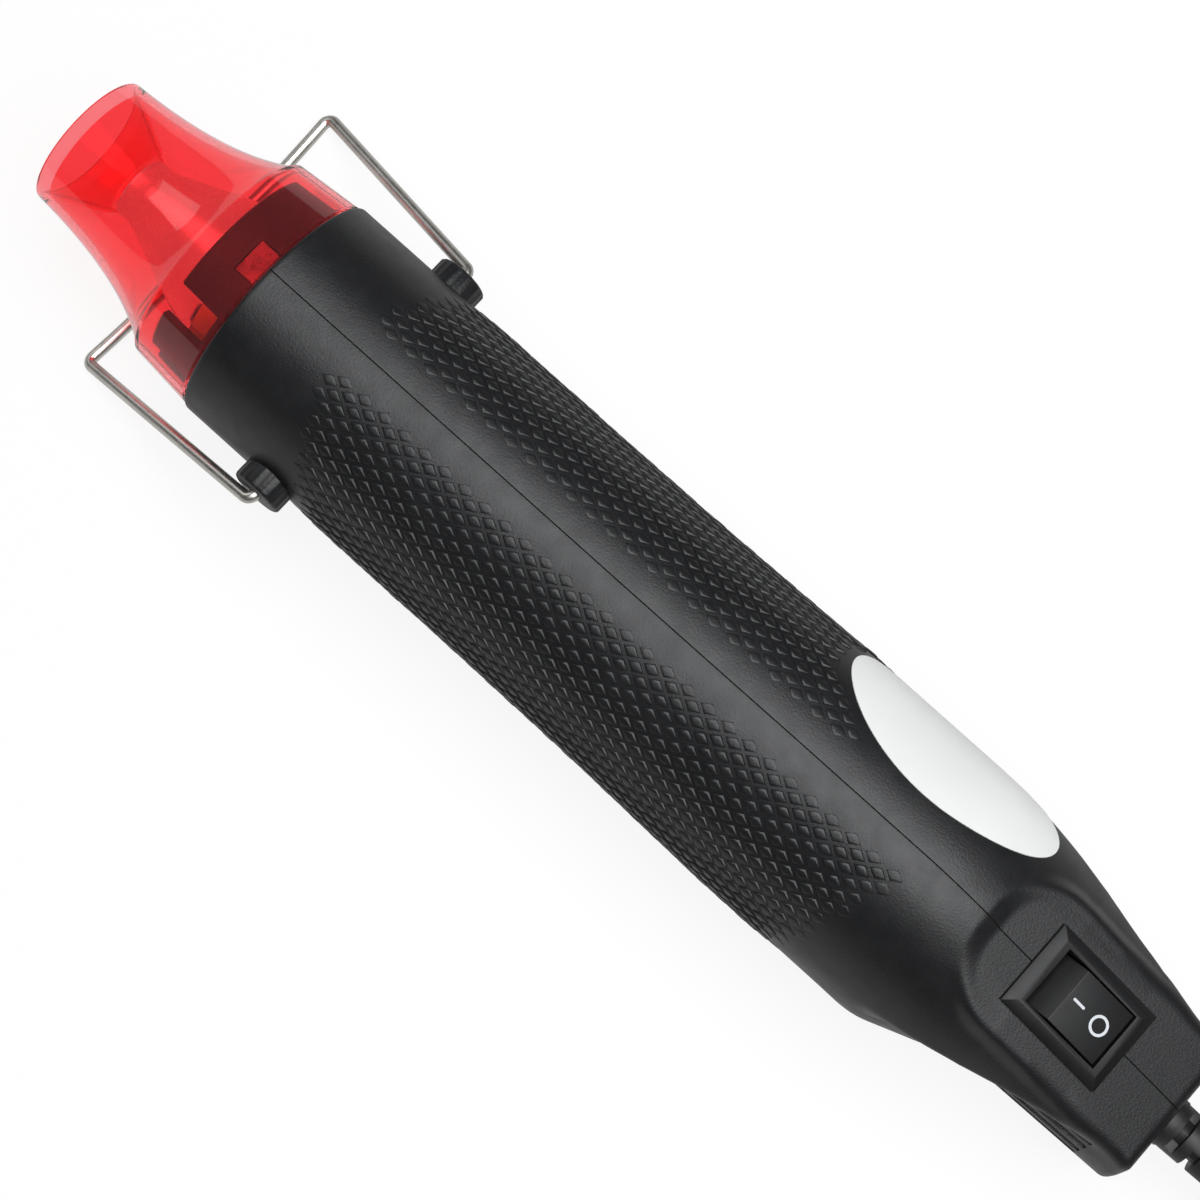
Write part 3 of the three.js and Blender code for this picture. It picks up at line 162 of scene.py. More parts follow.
HOUSING_BLACK = surface("housing_black", (0.0065, 0.0068, 0.0076), (0.009, 0.0093, 0.0102),
                        (0.36, 0.45), grain=2600.0, grain_mm=0.035)
GRIP_BLACK = surface("grip_black", (0.0062, 0.0065, 0.0072), (0.0085, 0.0088, 0.0096),
                     (0.33, 0.43), grain=2800.0, grain_mm=0.028)
SWITCH_BLACK = surface("switch_black", (0.006, 0.0062, 0.0068), (0.008, 0.0082, 0.009),
                       (0.4, 0.48), grain=2200.0, grain_mm=0.008, specular=0.38)
CORD_BLACK = surface("cord_black", (0.011, 0.011, 0.012), (0.015, 0.015, 0.016), (0.42, 0.55),
                     grain=1200.0, grain_mm=0.02)
WIRE_STEEL = surface("wire_steel", (0.6, 0.58, 0.535), (0.74, 0.72, 0.67), (0.28, 0.4),
                     metallic=1.0, grain=2500.0, grain_mm=0.002, patch=150.0)
BRIGHT_STEEL = surface("bright_steel", (0.62, 0.61, 0.59), (0.74, 0.73, 0.71), (0.2, 0.27),
                       metallic=1.0, grain=1800.0, grain_mm=0.002, patch=120.0)
DULL_STEEL = surface("dull_steel", (0.30, 0.29, 0.28), (0.42, 0.41, 0.4), (0.35, 0.55),
                     metallic=1.0, grain=1500.0, grain_mm=0.012, patch=150.0)
MICA_GOLD = surface("mica_gold", (0.42, 0.30, 0.10), (0.62, 0.46, 0.19), (0.3, 0.55),
                    grain=700.0, grain_mm=0.03, patch=180.0)
BRASS = surface("brass", (0.55, 0.37, 0.12), (0.66, 0.46, 0.17), (0.25, 0.4),
                metallic=1.0, grain_mm=0.008)
BOARD_GREEN = surface("board_green", (0.02, 0.10, 0.035), (0.03, 0.13, 0.045), (0.35, 0.5),
                      grain_mm=0.01)
PALE_PLASTIC = surface("pale_plastic", (0.62, 0.60, 0.55), (0.7, 0.68, 0.64), (0.4, 0.55),
                       grain_mm=0.015)
LABEL_WHITE = surface("label_white", (0.80, 0.80, 0.79), (0.86, 0.86, 0.85), (0.3, 0.42),
                      grain=600.0, grain_mm=0.008, patch=40.0)
MARK_WHITE = surface("mark_white", (0.62, 0.65, 0.68), (0.72, 0.75, 0.78), (0.4, 0.5),
                     grain_mm=0.006)
TAB_RED = surface("tab_red", (0.06, 0.014, 0.014), (0.26, 0.12, 0.12), (0.2, 0.4),
                  grain=420.0, grain_mm=0.25, patch=420.0)
NOZZLE_STEEL = surface("nozzle_steel", (0.70, 0.68, 0.66), (0.8, 0.78, 0.76), (0.2, 0.3),
                       metallic=1.0, grain=1500.0, grain_mm=0.003, patch=120.0)

# The guard's walls bend light little, so that what is behind them stays clear, and the coat gives
# them the shine of solid plastic.
GUARD_TINTS = ((0.985, 0.17, 0.185), (0.995, 0.22, 0.24))
GUARD_ROUGHNESS = (0.03, 0.09)
GUARD_FLOW_MM = 0.03
GUARD_IOR = 1.06
GUARD_COAT_IOR = 1.49
GUARD_COAT_ROUGHNESS = 0.04


def clear_red():
    """Polished red plastic that light goes through, with faint flow marks."""
    material, tree, shader = new_material("guard_red")
    tint = ramp(tree, noise(tree, 45.0, 4.0), *GUARD_TINTS)
    tree.links.new(tint, shader.inputs["Base Color"])
    polish = ramp(tree, noise(tree, 220.0, 4.0), *GUARD_ROUGHNESS)
    tree.links.new(polish, shader.inputs["Roughness"])
    tree.links.new(bump(tree, noise(tree, 160.0, 3.0), GUARD_FLOW_MM), shader.inputs["Normal"])
    shader.inputs["Transmission Weight"].default_value = 1.0
    shader.inputs["IOR"].default_value = GUARD_IOR
    shader.inputs["Coat Weight"].default_value = 1.0
    shader.inputs["Coat IOR"].default_value = GUARD_COAT_IOR
    shader.inputs["Coat Roughness"].default_value = GUARD_COAT_ROUGHNESS
    return material


GUARD_RED = clear_red()


# Mesh helpers

def link(name, mesh, material, body="tool_body", smooth_deg=None):
    """A new object on the scene that rides on a body."""
    if smooth_deg is not None:
        mesh.polygons.foreach_set("use_smooth", [True] * len(mesh.polygons))
        mesh.set_sharp_from_angle(angle=math.radians(smooth_deg))
    piece = bpy.data.objects.new(name, mesh)
    bpy.context.scene.collection.objects.link(piece)
    piece.data.materials.clear()
    piece.data.materials.append(material)
    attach(piece, body)
    return piece


def mesh_from(name, points, faces):
    mesh = bpy.data.meshes.new(name)
    mesh.from_pydata([tuple(p) for p in points], [], faces)
    mesh.validate()
    mesh.update()
    return mesh


def tidy(mesh, merge=1e-7):
    """Merges doubled points and turns all faces outwards."""
    work = bmesh.new()
    work.from_mesh(mesh)
    bmesh.ops.remove_doubles(work, verts=work.verts, dist=merge)
    bmesh.ops.recalc_face_normals(work, faces=work.faces)
    work.to_mesh(mesh)
    work.free()
    return mesh


def turned(name, profile, sides=96):
    """A body turned about the tool's axis from a closed loop of (x, radius)."""
    count = len(profile)
    points = []
    for k in range(sides):
        angle = 2 * math.pi * k / sides
        points += [at(x, r * math.sin(angle), r * math.cos(angle)) for x, r in profile]
    faces = []
    for k in range(sides):
        a, b = k * count, ((k + 1) % sides) * count
        for i in range(count):
            j = (i + 1) % count
            faces.append((a + i, a + j, b + j, b + i))
    return tidy(mesh_from(name, points, faces))


def tube(name, path, radius, sides=12):
    """A round tube along points in metres, with closed ends."""
    points, faces = [], []
    side = Vector((0, 0, 1))
    for i, here in enumerate(path):
        before, after = path[max(i - 1, 0)], path[min(i + 1, len(path) - 1)]
        along = (after - before).normalized()
        side = side - along * side.dot(along)
        if side.length < 1e-4:
            side = along.orthogonal()
        side.normalize()
        up = along.cross(side)
        for k in range(sides):
            angle = 2 * math.pi * k / sides
            points.append(here + radius * (side * math.cos(angle) + up * math.sin(angle)))
    for i in range(len(path) - 1):
        for k in range(sides):
            a, b = i * sides + k, i * sides + (k + 1) % sides
            faces.append((a, b, b + sides, a + sides))
    faces.append(tuple(range(sides)))
    faces.append(tuple(range(len(points) - sides, len(points))))
    return tidy(mesh_from(name, points, faces))


def smooth_path(points, pieces=3):
    """A Catmull-Rom curve through points."""
    path = []
    for i in range(len(points) - 1):
        p0, p1 = points[max(i - 1, 0)], points[i]
        p2, p3 = points[i + 1], points[min(i + 2, len(points) - 1)]
        for k in range(pieces):
            t = k / pieces
            path.append(0.5 * (2 * p1 + (p2 - p0) * t + (2 * p0 - 5 * p1 + 4 * p2 - p3) * t * t
                               + (3 * p1 - p0 - 3 * p2 + p3) * t ** 3))
    path.append(points[-1])
    return path


def cut(mesh, cutters):
    """Takes cutter meshes away from a closed mesh and returns the result."""
    target = bpy.data.objects.new("cut_target", mesh)
    bpy.context.scene.collection.objects.link(target)
    helpers = []
    for cutter in cutters:
        helper = bpy.data.objects.new("cut_helper", cutter)
        bpy.context.scene.collection.objects.link(helper)
        helpers.append(helper)
        modifier = target.modifiers.new("cut", "BOOLEAN")
        modifier.operation = "DIFFERENCE"
        modifier.solver = "MANIFOLD"
        modifier.object = helper
    bpy.context.view_layer.update()
    done = target.evaluated_get(bpy.context.evaluated_depsgraph_get())
    result = bpy.data.meshes.new_from_object(done)
    for helper in helpers + [target]:
        bpy.data.objects.remove(helper)
    return result


def box_mesh(name, low, high, turn=None):
    """A box between two corners in millimetres, turned by a matrix in the tool's frame."""
    work = bmesh.new()
    bmesh.ops.create_cube(work, size=1.0)
    middle = Vector([(a + b) / 2 for a, b in zip(low, high)])
    size = Vector([b - a for a, b in zip(low, high)])
    for v in work.verts:
        p = Vector([c * s + m for c, s, m in zip(v.co, size, middle)])
        if turn is not None:
            p = turn @ p
        v.co = at(*p)
    mesh = bpy.data.meshes.new(name)
    work.to_mesh(mesh)
    work.free()
    return tidy(mesh)


def rod_mesh(name, start, end, radius, sides=32):
    """A rod between two points in millimetres."""
    return tube(name, [at(*start), at(*end)], radius * MM, sides)


FLAT_ANGLE = math.radians(1)
SHARP_ANGLE = math.radians(30)


def dress(node, material, bevel_mm=0.25, segments=2, smooth_deg=35):
    """A copy of a plain CAD piece with rounded edges that stands for it."""
    mesh = tidy(nodes[node].data.copy(), merge=1e-6)
    work = bmesh.new()
    work.from_mesh(mesh)
    bmesh.ops.dissolve_limit(work, angle_limit=FLAT_ANGLE, verts=work.verts, edges=work.edges)
    sharp = [e for e in work.edges
             if len(e.link_faces) == 2 and e.calc_face_angle() > SHARP_ANGLE]
    bmesh.ops.bevel(work, geom=sharp, offset=bevel_mm * MM, segments=segments, affect="EDGES",
                    profile=0.5, clamp_overlap=True)
    work.to_mesh(mesh)
    work.free()
    piece = link("dressed_" + node, mesh, material, nodes[node]["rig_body"], smooth_deg)
    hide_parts(node)
    return piece


# Cord: the route that the solids follow, then the loops, then the end that goes to the plug
CORD_D = 5.5
CORD_ROUTE = [
    (-211.1, 0, 14.25), (-214.7, 0, 14.25), (-218.3, 0, 14.2), (-222, 0, 13.9), (-225.6, 0, 13.3),
    (-229.2, 0, 12.5), (-232.8, 0, 11.5), (-236.5, 0, 10.3), (-240.1, 0.1, 9.1), (-243.7, 0.5, 7.9),
    (-247.2, 1.4, 6.7), (-250.6, 2.7, 5.7), (-253.8, 4.4, 4.8), (-256.7, 6.5, 4.2),
    (-259.4, 9, 3.8), (-261.8, 11.7, 3.65), (-263.8, 14.7, 3.65),
]
TAIL_ROUTE = [
    (-291.6, -33.5, 21.95), (-288.3, -33.5, 21.95), (-285.1, -33.5, 21.7), (-281.8, -33.5, 21),
    (-278.5, -33.5, 20), (-275.3, -33.5, 18.6), (-272, -33.5, 17), (-268.7, -33.5, 15.3),
    (-265.5, -33.5, 13.5), (-262.2, -33.5, 11.8), (-258.9, -33.5, 10.2), (-255.7, -33.5, 8.8),
    (-252.4, -33.5, 7.8), (-249.1, -33.5, 7.1), (-245.9, -33.5, 6.85), (-242.6, -33.5, 6.85),
]
COIL_CENTRE = (-297.4, 2.0)
COIL_OUTER_R = 35.5
COIL_INNER_R = 22.6
COIL_LAYERS = 4
LAYER_TURNS = 23 / 12
LAYER_RISE = 6.1
COIL_BASE = 3.65
COIL_START_DEG = 30
LOOP_STEPS = 48


def coil_points():
    """Loops that spiral in and out over the layers and climb in the half turn of each reversal."""
    layer_steps = LAYER_TURNS * LOOP_STEPS
    points = []
    for i in range(round(COIL_LAYERS * layer_steps) + 1):
        layer = min(int(i / layer_steps), COIL_LAYERS - 1)
        share = i / layer_steps - layer
        if layer % 2:
            share = 1 - share
        radius = COIL_OUTER_R - (COIL_OUTER_R - COIL_INNER_R) * share
        reversal = round(i / layer_steps)
        past = (i - reversal * layer_steps) / (LOOP_STEPS / 4)
        level = layer
        if 0 < reversal < COIL_LAYERS and abs(past) < 1:
            level = reversal - 0.5 + 0.5 * math.sin(past * math.pi / 2)
        angle = math.radians(COIL_START_DEG) + 2 * math.pi * i / LOOP_STEPS
        points.append(on_table(COIL_CENTRE[0] + radius * math.cos(angle),
                               COIL_CENTRE[1] + radius * math.sin(angle),
                               COIL_BASE + level * LAYER_RISE))
    return points


def make_cord():
    start = smooth_path([on_table(*p) for p in CORD_ROUTE], 2)
    end = smooth_path([on_table(*p) for p in TAIL_ROUTE], 2)
    path = start + coil_points() + end
    mesh = tube("mains_cord", path, CORD_D / 2 * MM)
    cord = link("mains_cord", mesh, CORD_BLACK, smooth_deg=50)
    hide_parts("power_cord", "cord_coil", "cord_tail")
    plug = dress("plug_body", CORD_BLACK, 0.9, 3)
    pins = [dress(n, BRIGHT_STEEL, 0.3) for n in ("plug_pin_left", "plug_pin_right")]
    tie = dress("cord_tie", CORD_BLACK, 0.2, 1)
    relief = dress("strain_relief", CORD_BLACK, 0.25, 2)


make_cord()


# Housing: the outer skin is solved as a radius round the axis at each x and angle from the top
# seam. Towards the tail the round barrel turns into an oval whose widest level lies below the
# axis. Above the axis its shoulder slopes more gently than below.
TAIL_X = -185.5
NECK_X = -158.5
SHOULDER_X = -139.4
SWELL_BACK_X = -136.0
SWELL_FRONT_X = -106.0
WAIST_X = -55.0
BARREL_R = 20.8
SWELL_R = 21.6
SHOULDER_ROUND = 2.6
NECK_ROUND = 3.0
OVAL_FROM_X = -131.0
SHOULDER_TOP = [(-230, 13.7), (-181, 13.7), (-175, 16.9), (-170, 18.5), (-165, 18.8), (-160, 19.8),
                (-155, 20.7), (-150, 21.5), (-145, 21.6), (-140, 21.7), (-134, 21.6), (-100, 21.6)]
SHOULDER_TOP_Z = (2.0, 7.0)
SHOULDER_TOP_FRONT = -130.0
SHOULDER_TOP_STEP = 0.5
SHOULDER_TOP_SPAN = 15
TAIL_HALF = 14.1
TAIL_END_HALF = 13.7
TAIL_SINK = 5.0
TAIL_RISE = 22.0
NECK_RISE = 18.0
NECK_RISE_X = (-170.0, -156.0)
TAIL_DEPTH = 12.5
TAIL_EDGE = 1.6
FRONT_EDGE = 0.5
WALL = 2.0
SEAM_HALF = 0.035
SEAM_LIPS = ((0.0, 1.2), (0.0, 0.13), (0.02, 0.045), (0.06, 0.01), (0.14, 0.0))
SWITCH_X = -163.0
PAD_Z = 12.1
PAD_SLOPE = math.radians(18)
PAD_FRONT = 20.0
PAD_BACK = 23.0
PAD_HALF = 12.6
PAD_BACK_HALF = 11.6
PAD_CORNER = 11.0
PAD_EDGE = 2.2
PAD_DEPTH = 11.0
PAD_FOOT = 3.0
PAD_BLEND = 1.5
STEP_EDGE = 1.5
STEP_FILLET = 2.5
STEP_SPREAD = 6.0
SKIN_RANGE = (2.0, 27.0)
SKIN_HALVINGS = 36
ROW_STEPS = (0.45, 1.6)
ROW_CHANGE_X = (-137.0, -136.5)
COLUMN_DEG = (1.6, 178.4, 168)


def bezier(p0, p1, p2, count=12):
    t = np.linspace(0, 1, count)[:, None]
    return (1 - t) ** 2 * np.array(p0) + 2 * t * (1 - t) * np.array(p1) + t ** 2 * np.array(p2)


def half_widths():
    """Points (x, half width) of the housing's side outline, from the tail to the front."""
    slope = (SWELL_R - TAIL_HALF) / (SHOULDER_X - NECK_X)
    return np.vstack([
        [(TAIL_X - 10, TAIL_END_HALF), (TAIL_X, TAIL_END_HALF)],
        bezier((NECK_X - NECK_ROUND, TAIL_HALF), (NECK_X, TAIL_HALF),
               (NECK_X + NECK_ROUND, TAIL_HALF + slope * NECK_ROUND)),
        bezier((SHOULDER_X - SHOULDER_ROUND, SWELL_R - slope * SHOULDER_ROUND),
               (SHOULDER_X, SWELL_R), (SWELL_BACK_X, SWELL_R)),
        bezier((SWELL_FRONT_X, SWELL_R), ((SWELL_FRONT_X + WAIST_X) / 2, BARREL_R),
               (WAIST_X, BARREL_R)),
        [(10, BARREL_R)],
    ])


HALF_WIDTHS = half_widths()
TOP_X = np.arange(-220.0, -110.0, SHOULDER_TOP_STEP)
TOP_HALF = np.convolve(np.interp(TOP_X, *np.array(SHOULDER_TOP).T),
                       np.full(SHOULDER_TOP_SPAN, 1 / SHOULDER_TOP_SPAN), "same")


def ease(share):
    """A share from 0 to 1 with a soft start and end."""
    share = np.clip(share, 0, 1)
    return share * share * (3 - 2 * share)


def half_width(x, z):
    """Half the width at a height: the upper outline takes over from the lower one."""
    low = np.interp(x, HALF_WIDTHS[:, 0], HALF_WIDTHS[:, 1])
    start, end = SHOULDER_TOP_Z
    share = ease((z - start) / (end - start)) * (x < SHOULDER_TOP_FRONT)
    return low + (np.interp(x, TOP_X, TOP_HALF) - low) * share


def barrel_distance(x, y, z):
    """Distance outside the round barrel, which turns into an oval towards the tail."""
    half = half_width(x, z)
    share = ease((OVAL_FROM_X - x) / (OVAL_FROM_X - NECK_X))
    z = z + TAIL_SINK * share
    rise = np.interp(x, NECK_RISE_X, (NECK_RISE, TAIL_RISE))
    tall = half + (np.where(z > 0, rise, TAIL_DEPTH) - half) * share
    level = np.maximum(np.hypot(y / half, z / tall), 1e-6)
    return (level - 1) * level / np.maximum(np.hypot(y / half ** 2, z / tall ** 2), 1e-6)


def round_max(a, b, radius):
    """The larger of two distances, with the outside corner between them rounded."""
    corner = np.hypot(np.maximum(a + radius, 0), np.maximum(b + radius, 0))
    return np.minimum(np.maximum(a, b), -radius) + corner


def round_min(a, b, radius):
    """The smaller of two distances, with the inside corner between them filled."""
    return -round_max(-a, -b, radius)


def pad_outline(s, y):
    """Distance outside the switch block's outline, s along the block and y across it."""
    straight = PAD_FRONT - PAD_CORNER
    half = PAD_HALF + (PAD_BACK_HALF - PAD_HALF) * (straight - s) / (straight + PAD_BACK)
    return round_max(s - PAD_FRONT, np.abs(y) - half, PAD_CORNER)


def housing_distance(x, y, z):
    """Roughly the distance outside the housing, negative inside."""
    barrel = barrel_distance(x, y, z)
    s = (x - SWITCH_X) * math.cos(PAD_SLOPE) + (z - PAD_Z) * math.sin(PAD_SLOPE)
    n = (z - PAD_Z) * math.cos(PAD_SLOPE) - (x - SWITCH_X) * math.sin(PAD_SLOPE)
    outline = pad_outline(s, y)
    block = round_max(round_max(outline, n, PAD_EDGE), -n - PAD_DEPTH, PAD_FOOT)
    body = round_min(barrel, block, PAD_BLEND)
    reach = outline - STEP_SPREAD * np.clip(-2 * s / PAD_BACK, 0, 1)
    clear = round_min(n, -reach, STEP_FILLET)
    body = round_max(body, clear, STEP_EDGE)
    body = round_max(body, TAIL_X - x, TAIL_EDGE)
    return round_max(body, x, FRONT_EDGE)


def housing_radius(x, angle):
    """The skin's distance from the axis; arrays of the same shape."""
    x, angle = np.broadcast_arrays(np.asarray(x, float), np.asarray(angle, float))
    inside, outside = (np.full(x.shape, r) for r in SKIN_RANGE)
    for _ in range(SKIN_HALVINGS):
        middle = (inside + outside) / 2
        outer = housing_distance(x, middle * np.sin(angle), middle * np.cos(angle)) > 0
        outside = np.where(outer, middle, outside)
        inside = np.where(outer, inside, middle)
    return (inside + outside) / 2


def skin_point(x, angle, side, lift=0.0):
    """Points on the skin, lifted off it; side is +1 left and -1 right."""
    r = housing_radius(x, angle) + lift
    return np.stack([x + 0 * r, side * r * np.sin(angle), r * np.cos(angle)], axis=-1)


def housing_rows():
    """Places along the axis, close together on the neck and round the two end edges."""
    fine, coarse = ROW_STEPS
    tail = TAIL_X + TAIL_EDGE * (1 - np.cos(np.linspace(0.02, math.pi / 2, 7)))
    neck = np.arange(TAIL_X + TAIL_EDGE + fine, ROW_CHANGE_X[0], fine)
    barrel = np.arange(ROW_CHANGE_X[1], -1.2, coarse)
    front = -FRONT_EDGE * (1 - np.sin(np.linspace(0, math.pi / 2 - 0.02, 5)))
    return np.concatenate([tail, neck, barrel, [-0.8], front])


def housing_half(name, side):
    """One half of the housing as a closed wall with an open seam edge."""
    x = housing_rows()
    columns = [(SEAM_HALF + y, 0, drop) for y, drop in SEAM_LIPS]
    columns += [(None, angle, 0.0) for angle in np.radians(np.linspace(*COLUMN_DEG))]
    columns += [(SEAM_HALF + y, math.pi, drop) for y, drop in reversed(SEAM_LIPS)]
    outer = []
    for y, angle, drop in columns:
        turn = np.full(x.shape, angle)
        if y is not None:
            near = housing_radius(x, turn)
            turn = np.abs(angle - np.arcsin(y / np.maximum(near, 3.0)))
        r = np.maximum(housing_radius(x, turn) - drop, 1.0)
        y = np.maximum(r * np.sin(turn), SEAM_HALF)
        outer.append(np.stack([x, y, r * np.cos(turn)], axis=-1))
    outer = np.array(outer)
    inner = outer.copy()
    radial = np.hypot(outer[..., 1], outer[..., 2])
    shrink = np.maximum(radial - WALL, 1.0) / radial
    inner[..., 1] = np.maximum(outer[..., 1] * shrink, SEAM_HALF)
    inner[..., 2] = outer[..., 2] * shrink
    inner[..., 0] = np.clip(outer[..., 0], TAIL_X + WALL, 0.0)
    cols, rows = outer.shape[:2]
    hubs = [(TAIL_X, SEAM_HALF, 0), (TAIL_X + WALL, SEAM_HALF, 0)]
    points = np.concatenate([outer.reshape(-1, 3), inner.reshape(-1, 3), hubs])
    points[:, 1] *= side
    skin = np.arange(cols * rows).reshape(cols, rows).tolist()
    wall = (cols * rows + np.arange(cols * rows)).reshape(cols, rows).tolist()
    outer_hub, inner_hub = len(points) - 2, len(points) - 1
    faces = []
    for c in range(cols - 1):
        skin_a, skin_b, wall_a, wall_b = skin[c], skin[c + 1], wall[c], wall[c + 1]
        for r in range(rows - 1):
            faces.append((skin_a[r], skin_a[r + 1], skin_b[r + 1], skin_b[r]))
            faces.append((wall_a[r], wall_b[r], wall_b[r + 1], wall_a[r + 1]))
        faces.append((skin_a[-1], wall_a[-1], wall_b[-1], skin_b[-1]))
        faces.append((skin_a[0], skin_b[0], outer_hub))
        faces.append((wall_b[0], wall_a[0], inner_hub))
    top_skin, top_wall, low_skin, low_wall = skin[0], wall[0], skin[-1], wall[-1]
    for r in range(rows - 1):
        faces.append((top_skin[r], top_wall[r], top_wall[r + 1], top_skin[r + 1]))
        faces.append((low_skin[r], low_skin[r + 1], low_wall[r + 1], low_wall[r]))
    faces.append((top_skin[0], outer_hub, inner_hub, top_wall[0]))
    faces.append((low_skin[0], low_wall[0], inner_hub, outer_hub))
    return tidy(mesh_from(name, [at(*p) for p in points], faces), merge=2e-7)


# Openings in the housing
VENT_COUNT = 5
VENT_HEIGHT = 1.7
VENT_LENGTH = 16.5
VENT_BACK = 6.7
VENT_TOP_Z = 3.3
VENT_STEP = 2.75
VENT_Y = (9.0, 18.0)
SCREWS = [(-30.1, -16.4), (-112.0, -17.2), (-147.0, -13.1), (-175.5, -13.1)]
POCKET_R = 2.6
POCKET_Y = (-30, -3.7)
RELIEF_HOLE_R = 4.0
RELIEF_Z = -7.3
RELIEF_X = (TAIL_X - 2, TAIL_X + 4)
CASE_LENGTH = 18.8
CASE_WIDTH = 12.6
CASE_GAP = 0.3
CASE_HOLE_N = (-12, 4)
PAD_TURN = Matrix.Translation((SWITCH_X, 0, PAD_Z)) @ Matrix.Rotation(-PAD_SLOPE, 4, "Y")


def housing_cutters(side):
    """What is cut from one half: air slots, screw pockets, and holes for relief and switch."""
    cutters = []
    x = TAIL_X + VENT_BACK
    near, far = sorted(side * y for y in VENT_Y)
    for k in range(VENT_COUNT):
        z = VENT_TOP_Z - k * VENT_STEP
        low, high = (x, near, z - VENT_HEIGHT / 2), (x + VENT_LENGTH, far, z + VENT_HEIGHT / 2)
        cutters.append(box_mesh("vent", low, high))
    if side < 0:
        cutters += [rod_mesh("pocket", (x, POCKET_Y[0], z), (x, POCKET_Y[1], z), POCKET_R)
                    for x, z in SCREWS]
    start, end = ((x, 0, RELIEF_Z) for x in RELIEF_X)
    cutters.append(rod_mesh("relief_hole", start, end, RELIEF_HOLE_R))
    length, width = CASE_LENGTH / 2 + CASE_GAP, CASE_WIDTH / 2 + CASE_GAP
    low, high = (-length, -width, CASE_HOLE_N[0]), (length, width, CASE_HOLE_N[1])
    cutters.append(box_mesh("switch_hole", low, high, PAD_TURN))
    return cutters


def make_housing():
    for name, side in (("left", 1), ("right", -1)):
        mesh = cut(housing_half("housing_" + name, side), housing_cutters(side))
        piece = link("housing_" + name, mesh, HOUSING_BLACK, smooth_deg=32)
        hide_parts("shell_" + name)


make_housing()

# Front collar that the guard grips, with its windows
COLLAR_LENGTH = 9.5
COLLAR_R = (18.9, 18.05)
COLLAR_WINDOWS = ((42, 6.5), (90, 9.0), (142, 6.0), (180, 6.0), (218, 6.0), (285, 12.0))
COLLAR_ROOT = 1.6
COLLAR_EDGE = 0.4
FLANGE_X = (-2.0, -0.3)
FLANGE_R = 19.8
WINDOW_R = (5, 30)
NOTCH_HALF = 3.2
NOTCH_X = (0.8, 4.6)
TAB_R = (17.0, 18.2)
TAB_GAP = 0.2


def make_collar():
    root_r, tip_r = COLLAR_R
    profile = [(FLANGE_X[0], root_r - WALL), (FLANGE_X[0], FLANGE_R), (FLANGE_X[1], FLANGE_R),
               (FLANGE_X[1], root_r), (COLLAR_LENGTH - COLLAR_EDGE, tip_r),
               (COLLAR_LENGTH, tip_r - COLLAR_EDGE), (COLLAR_LENGTH, tip_r - WALL)]
    near, far = WINDOW_R
    windows = []
    for angle, width in COLLAR_WINDOWS:
        turn = Matrix.Rotation(math.radians(-angle), 4, "X")
        low, high = (COLLAR_ROOT, -width / 2, near), (COLLAR_LENGTH + 5, width / 2, far)
        windows.append(box_mesh("window", low, high, turn))
    low, high = (NOTCH_X[0], -NOTCH_HALF, near), (NOTCH_X[1], NOTCH_HALF, far)
    windows.append(box_mesh("notch", low, high))
    mesh = cut(turned("front_collar", profile), windows)
    link("front_collar", mesh, HOUSING_BLACK, smooth_deg=30)
    low = (NOTCH_X[0] + TAB_GAP, TAB_GAP - NOTCH_HALF, TAB_R[0])
    high = (NOTCH_X[1] - TAB_GAP, NOTCH_HALF - TAB_GAP, TAB_R[1])
    link("guard_tab", box_mesh("guard_tab", low, high), TAB_RED)


make_collar()

# Bosses for the wire stand
BOSS_X = -18.1
BOSS_R = 4.5
BOSS_FACE_Y = 23.9
BOSS_EDGE = 0.5
BOSS_RIBS = 18
BOSS_RIB = 0.13
BOSS_ROOT_Y = 16.5
BOSS_HOLE_R = 1.2
BOSS_HOLE_DEPTH = 4
BOSS_STEPS = 112


def make_boss(name, side):
    """A ribbed boss with a rounded face and a hole for the wire."""
    turns = [2 * math.pi * k / BOSS_STEPS for k in range(BOSS_STEPS)]
    rings = [(BOSS_ROOT_Y, 0.0), (BOSS_FACE_Y - BOSS_EDGE, 0.0), (BOSS_FACE_Y - 0.15, 0.15),
             (BOSS_FACE_Y, BOSS_EDGE)]
    points, faces = [], []
    for y, inset in rings:
        for turn in turns:
            rib = BOSS_RIB * max(0.0, math.cos(BOSS_RIBS * turn)) ** 0.5 if inset == 0 else 0.0
            r = BOSS_R - inset - BOSS_RIB + rib
            points.append(at(BOSS_X + r * math.cos(turn), side * y, r * math.sin(turn)))
    for y in (BOSS_FACE_Y, BOSS_FACE_Y - BOSS_HOLE_DEPTH):
        for turn in turns:
            x, z = BOSS_HOLE_R * math.cos(turn), BOSS_HOLE_R * math.sin(turn)
            points.append(at(BOSS_X + x, side * y, z))
    for ring in range(len(rings) + 1):
        for k in range(BOSS_STEPS):
            a, b = ring * BOSS_STEPS + k, ring * BOSS_STEPS + (k + 1) % BOSS_STEPS
            faces.append((a, b, b + BOSS_STEPS, a + BOSS_STEPS))
    faces.append(tuple(range(BOSS_STEPS)))
    faces.append(tuple(range(len(points) - BOSS_STEPS, len(points))))
    link(name, tidy(mesh_from(name, points, faces)), HOUSING_BLACK, smooth_deg=40)


make_boss("boss_left", 1)
make_boss("boss_right", -1)

# Blank oval label on the right half
LABEL_X = -124.8
LABEL_ANGLE = math.radians(51)
LABEL_LENGTH = 20.8
LABEL_SPREAD = math.radians(33)
LABEL_LIFT = 0.16
LABEL_SINK = 0.1


